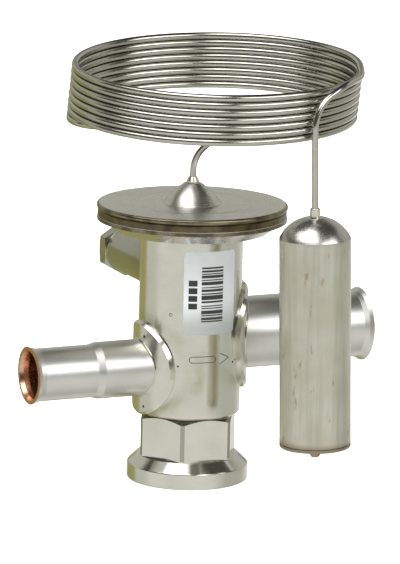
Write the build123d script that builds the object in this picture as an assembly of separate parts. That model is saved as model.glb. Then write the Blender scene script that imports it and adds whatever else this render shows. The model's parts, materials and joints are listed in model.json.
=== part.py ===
from build123d import *

import os
from math import cos, pi, radians, sin, sqrt, tan

# Thermostatic expansion valve in hermetic brazed form, in millimetres.
# Origin: centre of the seal cap's flat underside. +Z runs up the valve's axis,
# +X along the outlet, -X along the inlet, +Y along the equaliser connector.
# The label is on the -Y side.

# Clearances
SEAT_GAP = 0.02          # radial play of a pressed or brazed round seat
THREAD_GAP = 0.05        # radial play of a screwed joint, threads drawn plain
SLIDE_GAP = 0.05         # radial play of a sliding rod
FACE_GAP = 0.05          # play between flat faces of pieces that move apart
KEY_GAP = 0.15           # play of a sliding key in its keyway
CONE_GAP = 0.15          # play between the cone and its seat when shut
HEX_FACE_INSET = 0.2     # how far a hexagon's end chamfer bites below its flats

# Seal cap: turned from hexagon bar, screwed over the neck from below
CAP_RIM_RADIUS = 21.5
CAP_RIM_HEIGHT = 5.6
CAP_BEVEL_HEIGHT = 3.3
CAP_FLATS = 32.0
CAP_CORNER_RADIUS = 18.1  # the bar's corners are turned down to this
CAP_HEX_HEIGHT = 15.0
CAP_FLOOR = 3.6
CAP_EDGE = 0.5
GASKET_THICKNESS = 0.6
GASKET_WIDTH = 2.2

# Valve body: turned bar with a male neck below
BODY_RADIUS = 18.3
BODY_HEIGHT = 65.4
BODY_EDGE = 0.5
NECK_RADIUS = 13.0
NECK_LENGTH = 14.6
SPRING_CHAMBER_RADIUS = 9.5
SPRING_CHAMBER_HEIGHT = 34.8
KEYWAY_DEPTH = 1.7
KEYWAY_WIDTH = 4.2
KEYWAY_HEIGHT = 20.0
ORIFICE_WEB = 2.4
OUTLET_CHAMBER_RADIUS = 7.5
OUTLET_CHAMBER_HEIGHT = 10.8
GUIDE_WEB = 8.0
GUIDE_BORE_RADIUS = 4.5
TOP_CHAMBER_RADIUS = 12.0

# Heights of the two tubes above the cap's underside, and of the connector below the head
INLET_HEIGHT = 41.4
OUTLET_HEIGHT = 51.3
EQUALIZER_DROP = 18.6
INLET_PORT_RADIUS = 3.2
OUTLET_PORT_RADIUS = 4.0
EQUALIZER_BORE_RADIUS = 2.4

# Connection tubes: steel outside, copper liner inside, distances from the axis
INLET_RECESS = 14.4
INLET_ROOT_RADIUS = 10.1
INLET_ROOT_END = 36.0
INLET_SOCKET_RADIUS = 9.4
INLET_LENGTH = 61.6
INLET_WALL = 0.85
INLET_LIP_RADIUS = 10.3
INLET_TUBE_SIZE = 15.88
OUTLET_RECESS = 11.5
OUTLET_ROOT_RADIUS = 12.9
OUTLET_ROOT_END = 38.0
OUTLET_SOCKET_RADIUS = 11.9
OUTLET_LENGTH = 67.0
OUTLET_WALL = 0.45
OUTLET_LIP_RADIUS = 13.3
OUTLET_TUBE_SIZE = 22.22
SOCKET_PLAY = 0.06       # radial play of a brazed tube in its socket
SOCKET_DEPTH = 15.0
STOP_STEP = 0.7          # height of the stop that the brazed tube meets
STOP_LENGTH = 2.5
ROOT_TAPER = 2.6
LIP_LENGTH = 3.2
LIP_MID_RISE = 0.35      # share of the flare reached at its middle point
LIP_MID_BACK = 0.45      # share of the flare's length left at its middle point

# Saddle collars wrapped round the body where the tubes enter it
INLET_COLLAR_REACH = 16.9
INLET_COLLAR_THICKNESS = 1.9
OUTLET_COLLAR_REACH = 19.6
OUTLET_COLLAR_THICKNESS = 2.2
COLLAR_BEVEL = 0.9

# Equaliser connector, turned from hexagon bar, with a socket in its end
CONNECTOR_RECESS = 15.0
CONNECTOR_RADIUS = 8.15
CONNECTOR_SHANK_END = 58.0
CONNECTOR_SPREAD = 1.4   # length over which the shank widens to the hexagon
CONNECTOR_FLATS = 17.0
CONNECTOR_HEX = 6.0
EQUALIZER_TUBE_SIZE = 6.35
EQUALIZER_SOCKET_DEPTH = 8.0
EQUALIZER_MOUTH = 0.5    # bevel at the socket's mouth

# Power head
PAN_SHEET = 1.2
PAN_FLAT_RADIUS = 27.0
PAN_WALL_RADIUS = 32.2
PAN_DEPTH = 3.8
HEAD_RADIUS = 33.9
HEAD_BEAD_RADIUS = 21.5  # faint ring pressed into the top plate
HEAD_BEAD_WIDTH = 1.2
HEAD_BEAD_DEPTH = 0.14
LOWER_FLANGE_RADIUS = 33.7
DIAPHRAGM_THICKNESS = 0.25
DIAPHRAGM_WAVE = 0.5
RING_RADIUS = 33.5
RING_WIDTH = 3.6
RING_HEIGHT = 2.45
RING_GROOVE = 0.45
TOP_PLATE = 1.96
TOP_PLATE_EDGE = 0.9
HUB_BASE_RADIUS = 10.3
HUB_TOP_RADIUS = 3.0
HUB_HEIGHT = 7.3
HUB_BULGE = 0.45
FERRULE_HEIGHT = 2.2
FERRULE_WALL = 1.1

# Push rod train
PAD_RADIUS = 20.0
PAD_THICKNESS = 1.6
PAD_BOSS_RADIUS = 4.2
PAD_BOSS_HEIGHT = 2.2
ROD_RADIUS = 1.6
ROD_SOCKET = 2.2
GUIDE_FLANGE_RADIUS = 7.5
GUIDE_FLANGE = 1.5
GUIDE_CUP_RADIUS = 3.4
GUIDE_CUP_DEPTH = 5.0
SEAL_HEIGHT = 1.8
RETAINER_HEIGHT = 2.4
ORIFICE_RADIUS = 2.6
ORIFICE_BODY_RADIUS = 6.0
ORIFICE_FLANGE_RADIUS = 8.2
ORIFICE_FLANGE = 1.2
ORIFICE_PROUD = 1.0
CONE_SLOPE = 30.0        # half angle of the cone, degrees
CONE_LAND = 0.6          # length of the cone below the seat's face
CONE_BASE_RADIUS = 3.6
CONE_BASE_HEIGHT = 2.6
CARRIER_RADIUS = 8.0
CARRIER_FLANGE = 1.6
CARRIER_HUB_RADIUS = 4.4
CARRIER_HUB_HEIGHT = 1.9
CARRIER_PILOT_HEIGHT = 2.2

# Superheat adjustment
SPINDLE_RADIUS = 4.0
SPINDLE_SQUARE = 5.2
SPINDLE_SQUARE_LENGTH = 4.4
SPINDLE_COLLAR_RADIUS = 6.0
SPINDLE_COLLAR = 1.8
SPINDLE_SCREW_RADIUS = 3.6
SPINDLE_SCREW_LENGTH = 12.0
GLAND_HEIGHT = 6.0
GLAND_GROOVE_RADIUS = 6.2
GLAND_GROOVE_DEPTH = 2.6
GLAND_HOLE_RADIUS = 1.2
GLAND_HOLE_CIRCLE = 7.7
GLAND_HOLE_DEPTH = 2.6
GLAND_RUNNING_GAP = 0.2
SPRING_SEAT_OFFSET = 2.6
SPRING_SEAT_RADIUS = 8.2
SPRING_SEAT_FLANGE = 2.0
SPRING_SEAT_HUB_RADIUS = 5.2
SPRING_SEAT_HUB = 2.0
SPRING_WIRE_RADIUS = 0.8
SPRING_MEAN_RADIUS = 6.5
SPRING_TURNS = 5.0

# Sensing bulb, hanging in front of the outlet
BULB_BASE = (24.3, -54.6, 21.8)
BULB_TOP = (22.4, -53.8, 103.0)
BULB_RADIUS = 12.45
BULB_WALL = 0.8
BULB_DOME = 7.3
BULB_CROWN_RADIUS = 3.2
BULB_PLUG_EDGE = 1.2
BULB_PLUG_SPIGOT = 3.8
BULB_CRIMP = 0.45
BULB_NUB_RADIUS = 1.75
BULB_NUB_LENGTH = 1.4
BULB_FERRULE_RADIUS = 1.75
BULB_FERRULE_HEIGHT = 3.2

# Capillary tube, one length of hard drawn tube wound into a standing coil
CAPILLARY_RADIUS = 1.15
COIL_RADIUS = 50.0
COIL_PITCH = 2.56
COIL_TURNS = 7.5
COIL_SIDES = 12          # bends in each turn
COIL_TILT = 3.0          # the turns lean towards the label side, degrees
COIL_START_ANGLE = 180.0
COIL_RISE = 23.84        # lowest turn above the hub's top
COIL_CENTRE = 6.2        # offset of the lowest turn along the coil's own right
COIL_SHEAR = 1.7         # further offset of the highest turn
COIL_AZIMUTH = -24.0     # direction of the coil's own right, degrees from +X
BEND_SHARE = 0.49        # share of the shorter run that a bend takes up
CAPILLARY_IN_HUB = 3.0
CAPILLARY_IN_BULB = 2.4
BULB_TAIL_DROP = 2.2     # fall of the bulb's tail below the highest turn
BULB_TAIL_GAP = 2.5      # how far the bulb's tail stands off the turns

# Label: thin self-adhesive sheet round the front of the body
LABEL_THICKNESS = 0.12
LABEL_SIDE_GAP = 0.5     # between the label and the outlet's collar
LABEL_TOP_GAP = 4.6      # between the label and the head
LABEL_HEIGHT = 29.9
LABEL_CORNER = 1.5

# Heights that follow from the sizes above
CAP_HEX_BOTTOM = CAP_RIM_HEIGHT + CAP_BEVEL_HEIGHT
CAP_TOP = CAP_HEX_BOTTOM + CAP_HEX_HEIGHT
BODY_BOTTOM = CAP_TOP + GASKET_THICKNESS + 2 * FACE_GAP
BODY_TOP = BODY_BOTTOM + BODY_HEIGHT
NECK_BOTTOM = BODY_BOTTOM - NECK_LENGTH
ORIFICE_WEB_BOTTOM = NECK_BOTTOM + SPRING_CHAMBER_HEIGHT
ORIFICE_WEB_TOP = ORIFICE_WEB_BOTTOM + ORIFICE_WEB
GUIDE_WEB_BOTTOM = ORIFICE_WEB_TOP + OUTLET_CHAMBER_HEIGHT
GUIDE_WEB_TOP = GUIDE_WEB_BOTTOM + GUIDE_WEB
EQUALIZER_HEIGHT = BODY_TOP - EQUALIZER_DROP
LABEL_BOTTOM = BODY_TOP - LABEL_TOP_GAP - LABEL_HEIGHT
PAN_FLANGE_TOP = BODY_TOP + PAN_DEPTH + PAN_SHEET
DIAPHRAGM_TOP = PAN_FLANGE_TOP + DIAPHRAGM_THICKNESS
RING_TOP = DIAPHRAGM_TOP + RING_HEIGHT
HEAD_TOP = RING_TOP + TOP_PLATE
HUB_TOP = HEAD_TOP + HUB_HEIGHT
COIL_START_HEIGHT = HUB_TOP + COIL_RISE
COIL_END_HEIGHT = COIL_START_HEIGHT + COIL_PITCH * COIL_TURNS
ORIFICE_BOTTOM = ORIFICE_WEB_BOTTOM - ORIFICE_FLANGE
CONE_BOTTOM = ORIFICE_BOTTOM - CONE_LAND
CONE_TIP = CONE_BOTTOM + (CONE_BASE_RADIUS - 0.4 - ROD_RADIUS) / tan(radians(CONE_SLOPE))
CARRIER_HUB_TOP = CONE_BOTTOM - CONE_BASE_HEIGHT
CARRIER_TOP = CARRIER_HUB_TOP - CARRIER_HUB_HEIGHT
CARRIER_BOTTOM = CARRIER_TOP - CARRIER_FLANGE
PAD_TOP = PAN_FLANGE_TOP - 2 * FACE_GAP
PAD_BOTTOM = PAD_TOP - PAD_THICKNESS
SPINDLE_COLLAR_BOTTOM = NECK_BOTTOM + GLAND_HEIGHT + GLAND_RUNNING_GAP
SPINDLE_COLLAR_TOP = SPINDLE_COLLAR_BOTTOM + SPINDLE_COLLAR
SPRING_SEAT_BOTTOM = SPINDLE_COLLAR_TOP + SPRING_SEAT_OFFSET
SPRING_SEAT_TOP = SPRING_SEAT_BOTTOM + SPRING_SEAT_HUB + SPRING_SEAT_FLANGE
INLET_BORE = INLET_TUBE_SIZE / 2 + SOCKET_PLAY
OUTLET_BORE = OUTLET_TUBE_SIZE / 2 + SOCKET_PLAY
EQUALIZER_SOCKET = EQUALIZER_TUBE_SIZE / 2 + SOCKET_PLAY


def turned(*points):
    """Solid of revolution about Z from an outline of (radius, height) points."""
    outline = Polyline(*[(radius, 0, height) for radius, height in points], close=True)
    return revolve(make_face(outline), Axis.Z)


def ring(inner, outer, bottom, top):
    """Plain round ring, or a disc where the inner radius is zero."""
    return turned((inner, bottom), (outer, bottom), (outer, top), (inner, top))


def rod(radius, bottom, top):
    """Plain round bar along Z."""
    return ring(0, radius, bottom, top)


def hexagon_bar(flats, bottom, top, corner_angle):
    """Hexagon bar along Z with one corner at the given angle."""
    sketch = Plane.XY.offset(bottom) * Rot(0, 0, corner_angle) * RegularPolygon(flats / sqrt(3), 6)
    return extrude(sketch, top - bottom)


def corner_cone(flats, corner, bottom, top, chamfer_bottom):
    """Turned envelope of a hexagon bar: round corners, chamfered ends at 30 degrees."""
    face = flats / 2 - HEX_FACE_INSET
    drop = (corner - face) * tan(radians(30))
    points = [(0, bottom), (corner, bottom)]
    if chamfer_bottom:
        points = [(0, bottom), (face, bottom), (corner, bottom + drop)]
    points += [(corner, top - drop), (face, top), (0, top)]
    return turned(*points)


def edges_at(part, height, radius):
    """Round edges of a turned part about Z at one height and radius."""
    def fits(edge):
        point = edge.position_at(0.25)
        flat = abs(point.Z - height) < 0.01
        return flat and abs(sqrt(point.X**2 + point.Y**2) - radius) < 0.01
    return [edge for edge in part.edges() if fits(edge)]


def to_inlet(part):
    """Turn a part made along +Z to point along -X at the inlet's height."""
    return Pos(0, 0, INLET_HEIGHT) * Rot(0, -90, 0) * part


def to_outlet(part):
    """Turn a part made along +Z to point along +X at the outlet's height."""
    return Pos(0, 0, OUTLET_HEIGHT) * Rot(0, 90, 0) * part


def to_equalizer(part):
    """Turn a part made along +Z to point along +Y at the equaliser's height."""
    return Pos(0, 0, EQUALIZER_HEIGHT) * Rot(-90, 0, 0) * part


def seal_cap():
    """Blind cap: round bevelled flange, hexagon and a plain threaded bore."""
    flange = turned(
        (0, 0),
        (CAP_RIM_RADIUS, 0),
        (CAP_RIM_RADIUS, CAP_RIM_HEIGHT),
        (CAP_CORNER_RADIUS, CAP_HEX_BOTTOM),
        (0, CAP_HEX_BOTTOM),
    )
    flange = fillet(edges_at(flange, 0, CAP_RIM_RADIUS), CAP_EDGE)
    flange = fillet(edges_at(flange, CAP_RIM_HEIGHT, CAP_RIM_RADIUS), CAP_EDGE)
    bar = hexagon_bar(CAP_FLATS, CAP_HEX_BOTTOM, CAP_TOP, 0)
    bar = bar & corner_cone(CAP_FLATS, CAP_CORNER_RADIUS, CAP_HEX_BOTTOM, CAP_TOP, False)
    bore = rod(NECK_RADIUS + THREAD_GAP, CAP_FLOOR, CAP_TOP)
    return flange + bar - bore


def cap_gasket():
    """Flat copper ring between the cap and the body's shoulder."""
    inner = NECK_RADIUS + THREAD_GAP + 0.15
    bottom = CAP_TOP + FACE_GAP
    return ring(inner, inner + GASKET_WIDTH, bottom, bottom + GASKET_THICKNESS)


def valve_body():
    """Turned body with its chambers, webs, ports, recesses and keyways."""
    body = turned(
        (0, NECK_BOTTOM),
        (NECK_RADIUS, NECK_BOTTOM),
        (NECK_RADIUS, BODY_BOTTOM),
        (BODY_RADIUS, BODY_BOTTOM),
        (BODY_RADIUS, BODY_TOP),
        (0, BODY_TOP),
    )
    body = chamfer(edges_at(body, BODY_BOTTOM, BODY_RADIUS), BODY_EDGE)
    body = chamfer(edges_at(body, NECK_BOTTOM, NECK_RADIUS), BODY_EDGE)
    body -= rod(SPRING_CHAMBER_RADIUS, NECK_BOTTOM, ORIFICE_WEB_BOTTOM)
    body -= rod(ORIFICE_BODY_RADIUS, ORIFICE_WEB_BOTTOM, ORIFICE_WEB_TOP)
    body -= rod(OUTLET_CHAMBER_RADIUS, ORIFICE_WEB_TOP, GUIDE_WEB_BOTTOM)
    body -= rod(GUIDE_BORE_RADIUS, GUIDE_WEB_BOTTOM, GUIDE_WEB_TOP)
    body -= rod(TOP_CHAMBER_RADIUS, GUIDE_WEB_TOP, BODY_TOP)
    body -= to_inlet(rod(INLET_PORT_RADIUS, 0, BODY_RADIUS))
    body -= to_inlet(rod(INLET_ROOT_RADIUS + SEAT_GAP, INLET_RECESS, BODY_RADIUS))
    body -= to_outlet(rod(OUTLET_PORT_RADIUS, 0, BODY_RADIUS))
    body -= to_outlet(rod(OUTLET_ROOT_RADIUS + SEAT_GAP, OUTLET_RECESS, BODY_RADIUS))
    body -= to_equalizer(rod(EQUALIZER_BORE_RADIUS, 0, BODY_RADIUS))
    body -= to_equalizer(rod(CONNECTOR_RADIUS + SEAT_GAP, CONNECTOR_RECESS, BODY_RADIUS))
    body -= keyway_pair(KEYWAY_WIDTH, SPRING_CHAMBER_RADIUS + KEYWAY_DEPTH, NECK_BOTTOM, KEYWAY_HEIGHT)
    return body


def keyway_pair(width, reach, bottom, height):
    """Bar across the axis along Y, as wide as a pair of keys or keyways."""
    bar = Pos(0, 0, bottom + height / 2) * Box(width, 2 * reach + width, height)
    return bar & rod(reach, bottom, bottom + height)


def tube_outline(root, root_end, socket, length, lip, start):
    """Outer radii of a connection tube from the body to its flared lip."""
    return [
        (root, start),
        (root, root_end),
        (socket, root_end + ROOT_TAPER),
        (socket, length - LIP_LENGTH),
        (socket + LIP_MID_RISE * (lip - socket), length - LIP_MID_BACK * LIP_LENGTH),
        (lip, length),
    ]


def connection_tube(root, root_end, socket, length, lip, start, wall, bore):
    """Steel tube: thick root, wide socket and a flared lip, open right through."""
    outside = tube_outline(root, root_end, socket, length, lip, start)
    liner_end = length - SOCKET_DEPTH - STOP_LENGTH
    inner_root = bore - STOP_STEP
    inner_socket = socket - wall
    flare = LIP_MID_RISE * (lip - socket)
    inside = [
        (lip - wall, length),
        (inner_socket + flare, length - LIP_MID_BACK * LIP_LENGTH),
        (inner_socket, length - LIP_LENGTH),
        (inner_socket, liner_end),
        (inner_root, liner_end),
        (inner_root, start),
    ]
    return turned(*outside, *inside)


def copper_liner(socket, length, lip, wall, bore):
    """Copper sleeve brazed into a steel socket, with the stop for the pipe."""
    outer = socket - wall - SEAT_GAP
    sleeve = outer - bore
    lip_outer = lip - wall - SEAT_GAP
    stop_end = length - SOCKET_DEPTH
    flare = LIP_MID_RISE * (lip - socket)
    return turned(
        (lip_outer, length),
        (lip_outer - sleeve, length),
        (bore + flare, length - LIP_MID_BACK * LIP_LENGTH),
        (bore, length - LIP_LENGTH),
        (bore, stop_end),
        (bore - STOP_STEP, stop_end),
        (bore - STOP_STEP, stop_end - STOP_LENGTH + SEAT_GAP),
        (outer, stop_end - STOP_LENGTH + SEAT_GAP),
        (outer, length - LIP_LENGTH),
        (outer + flare, length - LIP_MID_BACK * LIP_LENGTH),
    )


def wrapped_outline(radius, reach, neutral):
    """Edge of a flat disc bent to a neutral radius, carried out to another radius."""
    points = []
    steps = 24
    for step in range(steps):
        angle = 2 * pi * step / steps
        spread = reach * cos(angle) / neutral
        points.append(Vector(radius * cos(spread), radius * sin(spread), reach * sin(angle)))
    return Edge.make_spline(points, periodic=True)


def saddle_collar(reach, thickness, tube_radius):
    """Round washer bent round the body, pointing along +X, with a bevelled edge."""
    outer = BODY_RADIUS + thickness
    slack = 2.0
    blank = ring(BODY_RADIUS + SEAT_GAP, outer, -reach - slack, reach + slack)
    blank = blank & Pos(outer, 0, 0) * Box(2 * outer, 2 * outer + slack, 4 * reach)
    neutral = BODY_RADIUS + thickness / 2
    side = Face.make_surface_from_curves(
        wrapped_outline(BODY_RADIUS - slack, reach, neutral),
        wrapped_outline(outer + slack, reach, neutral),
    )
    disc = outermost(split(blank, bisect_by=side, keep=Keep.BOTH))
    bevel = Face.make_surface_from_curves(
        wrapped_outline(outer - COLLAR_BEVEL - slack, reach + slack, neutral),
        wrapped_outline(outer + slack, reach - COLLAR_BEVEL - slack, neutral),
    )
    disc = outermost(split(disc, bisect_by=bevel, keep=Keep.BOTH))
    return disc - Rot(0, 90, 0) * rod(tube_radius + SEAT_GAP, 0, 2 * outer)


def outermost(parts):
    """The piece of a split that surrounds the tube's axis."""
    return min(parts.solids(), key=lambda solid: abs(solid.center().Y) + abs(solid.center().Z))


def inlet_saddle():
    """Collar at the inlet."""
    collar = saddle_collar(INLET_COLLAR_REACH, INLET_COLLAR_THICKNESS, INLET_ROOT_RADIUS)
    return Pos(0, 0, INLET_HEIGHT) * Rot(0, 0, 180) * collar


def outlet_saddle():
    """Collar at the outlet."""
    collar = saddle_collar(OUTLET_COLLAR_REACH, OUTLET_COLLAR_THICKNESS, OUTLET_ROOT_RADIUS)
    return Pos(0, 0, OUTLET_HEIGHT) * collar


def inlet_tube():
    """Steel inlet tube."""
    return to_inlet(connection_tube(
        INLET_ROOT_RADIUS, INLET_ROOT_END, INLET_SOCKET_RADIUS, INLET_LENGTH,
        INLET_LIP_RADIUS, INLET_RECESS, INLET_WALL, INLET_BORE,
    ))


def inlet_copper_liner():
    """Copper liner of the inlet."""
    return to_inlet(copper_liner(
        INLET_SOCKET_RADIUS, INLET_LENGTH, INLET_LIP_RADIUS, INLET_WALL, INLET_BORE
    ))


def outlet_tube():
    """Steel outlet tube."""
    return to_outlet(connection_tube(
        OUTLET_ROOT_RADIUS, OUTLET_ROOT_END, OUTLET_SOCKET_RADIUS, OUTLET_LENGTH,
        OUTLET_LIP_RADIUS, OUTLET_RECESS, OUTLET_WALL, OUTLET_BORE,
    ))


def outlet_copper_liner():
    """Copper liner of the outlet."""
    return to_outlet(copper_liner(
        OUTLET_SOCKET_RADIUS, OUTLET_LENGTH, OUTLET_LIP_RADIUS, OUTLET_WALL, OUTLET_BORE
    ))


def equalizer_connector():
    """Round shank that ends in a wrench hexagon with a solder socket."""
    end = CONNECTOR_SHANK_END + CONNECTOR_HEX
    shank = turned(
        (0, CONNECTOR_RECESS),
        (CONNECTOR_RADIUS, CONNECTOR_RECESS),
        (CONNECTOR_RADIUS, CONNECTOR_SHANK_END - CONNECTOR_SPREAD),
        (CONNECTOR_FLATS / 2 - HEX_FACE_INSET, CONNECTOR_SHANK_END),
        (0, CONNECTOR_SHANK_END),
    )
    nut = hexagon_bar(CONNECTOR_FLATS, CONNECTOR_SHANK_END, end, 90)
    nut = nut & corner_cone(CONNECTOR_FLATS, CONNECTOR_FLATS / sqrt(3), CONNECTOR_SHANK_END, end, True)
    hole = turned(
        (0, CONNECTOR_RECESS),
        (EQUALIZER_BORE_RADIUS, CONNECTOR_RECESS),
        (EQUALIZER_BORE_RADIUS, end - EQUALIZER_SOCKET_DEPTH),
        (EQUALIZER_SOCKET, end - EQUALIZER_SOCKET_DEPTH),
        (EQUALIZER_SOCKET, end - EQUALIZER_MOUTH),
        (EQUALIZER_SOCKET + EQUALIZER_MOUTH, end),
        (0, end),
    )
    return to_equalizer(shank + nut - hole)


def lower_casing():
    """Pressed pan that carries the head on the body."""
    slope = PAN_DEPTH / (PAN_WALL_RADIUS - PAN_FLAT_RADIUS)
    offset = PAN_SHEET * (sqrt(1 + slope**2) - 1) / slope
    inner = TOP_CHAMBER_RADIUS
    return turned(
        (inner, BODY_TOP),
        (PAN_FLAT_RADIUS, BODY_TOP),
        (PAN_WALL_RADIUS, BODY_TOP + PAN_DEPTH),
        (LOWER_FLANGE_RADIUS, BODY_TOP + PAN_DEPTH),
        (LOWER_FLANGE_RADIUS, PAN_FLANGE_TOP),
        (PAN_WALL_RADIUS - offset, PAN_FLANGE_TOP),
        (PAN_FLAT_RADIUS - offset, BODY_TOP + PAN_SHEET),
        (inner, BODY_TOP + PAN_SHEET),
    )


def diaphragm():
    """Thin disc with one pressed wave, clamped at its rim."""
    low = PAN_FLANGE_TOP
    crest = low + DIAPHRAGM_WAVE
    thick = DIAPHRAGM_THICKNESS
    first = PAD_RADIUS + 2.0
    outline = [(0, low), (first, low), (first + 2, crest), (first + 4, crest), (first + 6, low)]
    upper = [(radius, height + thick) for radius, height in reversed(outline)]
    rim = [(RING_RADIUS, low), (RING_RADIUS, low + thick)]
    return turned(*outline, *rim, *upper)


def casing_ring():
    """Ring between the two casings, with a fine groove under the top plate."""
    inner = RING_RADIUS - RING_WIDTH
    return turned(
        (inner, DIAPHRAGM_TOP),
        (RING_RADIUS, DIAPHRAGM_TOP),
        (RING_RADIUS, RING_TOP - RING_GROOVE),
        (RING_RADIUS - RING_GROOVE, RING_TOP),
        (inner, RING_TOP),
    )


def upper_casing():
    """Top plate with its rounded rim, pressed ring and convex hub, bored for the capillary."""
    bore = CAPILLARY_RADIUS + SEAT_GAP
    plate = ring(0, HEAD_RADIUS, RING_TOP, HEAD_TOP)
    plate = fillet(edges_at(plate, HEAD_TOP, HEAD_RADIUS), TOP_PLATE_EDGE)
    plate = fillet(edges_at(plate, RING_TOP, HEAD_RADIUS), TOP_PLATE_EDGE)
    plate -= turned(
        (HEAD_BEAD_RADIUS - HEAD_BEAD_WIDTH / 2, HEAD_TOP),
        (HEAD_BEAD_RADIUS, HEAD_TOP - HEAD_BEAD_DEPTH),
        (HEAD_BEAD_RADIUS + HEAD_BEAD_WIDTH / 2, HEAD_TOP),
    )
    base = Vector(HUB_BASE_RADIUS, 0, HEAD_TOP)
    top = Vector(HUB_TOP_RADIUS, 0, HUB_TOP)
    along = (top - base).normalized()
    bulge = (base + top) * 0.5 + Vector(-along.Z, 0, along.X) * -HUB_BULGE
    side = ThreePointArc(base, bulge, top)
    rest = Polyline(top, (0, 0, HUB_TOP), (0, 0, HEAD_TOP), base)
    hub = revolve(make_face(Curve() + [side, rest]), Axis.Z)
    return plate + hub - rod(bore, RING_TOP, HUB_TOP)


def head_ferrule():
    """Brazed collar where the capillary leaves the hub."""
    bore = CAPILLARY_RADIUS + SEAT_GAP
    wide = bore + FERRULE_WALL
    return turned(
        (bore, HUB_TOP),
        (wide, HUB_TOP),
        (wide, HUB_TOP + 0.3 * FERRULE_HEIGHT),
        (bore + 0.25 * FERRULE_WALL, HUB_TOP + FERRULE_HEIGHT),
        (bore, HUB_TOP + FERRULE_HEIGHT),
    )


def thrust_pad():
    """Disc under the diaphragm, with a boss that takes the push rod."""
    pad = rod(PAD_RADIUS, PAD_BOTTOM, PAD_TOP)
    boss = rod(PAD_BOSS_RADIUS, PAD_BOTTOM - PAD_BOSS_HEIGHT, PAD_BOTTOM)
    socket_bottom = PAD_BOTTOM - PAD_BOSS_HEIGHT
    return pad + boss - rod(ROD_RADIUS + SEAT_GAP, socket_bottom, socket_bottom + ROD_SOCKET)


def push_rod():
    """Plain rod from the cone's tip to the pad's socket."""
    return rod(ROD_RADIUS, CONE_TIP, PAD_BOTTOM - PAD_BOSS_HEIGHT + ROD_SOCKET)


def rod_guide():
    """Flanged bush in the upper web, with a cup for the seal."""
    bush = rod(GUIDE_BORE_RADIUS - SEAT_GAP, GUIDE_WEB_BOTTOM, GUIDE_WEB_TOP)
    flange = rod(GUIDE_FLANGE_RADIUS, GUIDE_WEB_TOP, GUIDE_WEB_TOP + GUIDE_FLANGE)
    bore = rod(ROD_RADIUS + SLIDE_GAP, GUIDE_WEB_BOTTOM, GUIDE_WEB_TOP + GUIDE_FLANGE)
    return bush + flange - bore - rod(GUIDE_CUP_RADIUS, guide_cup_bottom(), GUIDE_WEB_TOP + GUIDE_FLANGE)


def guide_cup_bottom():
    """Height of the guide's cup floor."""
    return GUIDE_WEB_TOP + GUIDE_FLANGE - GUIDE_CUP_DEPTH


def rod_seal():
    """Soft ring round the push rod."""
    bottom = guide_cup_bottom()
    return ring(ROD_RADIUS + SLIDE_GAP, GUIDE_CUP_RADIUS - SEAT_GAP, bottom, bottom + SEAL_HEIGHT)


def seal_retainer():
    """Ring pressed in above the soft seal."""
    bottom = guide_cup_bottom() + SEAL_HEIGHT
    inner = ROD_RADIUS + 6 * SLIDE_GAP
    return ring(inner, GUIDE_CUP_RADIUS - SEAT_GAP, bottom, bottom + RETAINER_HEIGHT)


def orifice_seat():
    """Flanged seat in the lower web, its mouth parallel to the valve cone."""
    slope = tan(radians(CONE_SLOPE))
    gap = CONE_GAP / cos(radians(CONE_SLOPE))
    mouth = CONE_BASE_RADIUS - 0.4 - CONE_LAND * slope + gap
    throat = ORIFICE_BOTTOM + (mouth - ORIFICE_RADIUS) / slope
    top = ORIFICE_WEB_TOP + ORIFICE_PROUD
    outer = ORIFICE_BODY_RADIUS - SEAT_GAP
    return turned(
        (mouth, ORIFICE_BOTTOM),
        (ORIFICE_FLANGE_RADIUS, ORIFICE_BOTTOM),
        (ORIFICE_FLANGE_RADIUS, ORIFICE_WEB_BOTTOM),
        (outer, ORIFICE_WEB_BOTTOM),
        (outer, top),
        (ORIFICE_RADIUS, top),
        (ORIFICE_RADIUS, throat),
    )


def valve_cone():
    """Cone that shuts the orifice from below."""
    return turned(
        (0, CARRIER_HUB_TOP),
        (CONE_BASE_RADIUS, CARRIER_HUB_TOP),
        (CONE_BASE_RADIUS, CONE_BOTTOM - 0.6),
        (CONE_BASE_RADIUS - 0.4, CONE_BOTTOM),
        (ROD_RADIUS, CONE_TIP),
        (0, CONE_TIP),
    )


def cone_carrier():
    """Upper spring seat with the hub that carries the cone."""
    return turned(
        (0, CARRIER_BOTTOM - CARRIER_PILOT_HEIGHT),
        (SPRING_MEAN_RADIUS - SPRING_WIRE_RADIUS - 1.0, CARRIER_BOTTOM - CARRIER_PILOT_HEIGHT),
        (SPRING_MEAN_RADIUS - SPRING_WIRE_RADIUS - 0.5, CARRIER_BOTTOM),
        (CARRIER_RADIUS, CARRIER_BOTTOM),
        (CARRIER_RADIUS, CARRIER_TOP),
        (CARRIER_HUB_RADIUS, CARRIER_TOP),
        (CARRIER_HUB_RADIUS, CARRIER_HUB_TOP),
        (0, CARRIER_HUB_TOP),
    )


def superheat_spring():
    """Round wire compression spring between its two seats."""
    bottom = SPRING_SEAT_TOP + SPRING_WIRE_RADIUS + FACE_GAP
    top = CARRIER_BOTTOM - SPRING_WIRE_RADIUS - FACE_GAP
    height = top - bottom
    path = Helix(height / SPRING_TURNS, height, SPRING_MEAN_RADIUS)
    wire = Plane(path @ 0, z_dir=path % 0) * Circle(SPRING_WIRE_RADIUS)
    return Pos(0, 0, bottom) * sweep(wire, path=path, is_frenet=True)


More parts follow.
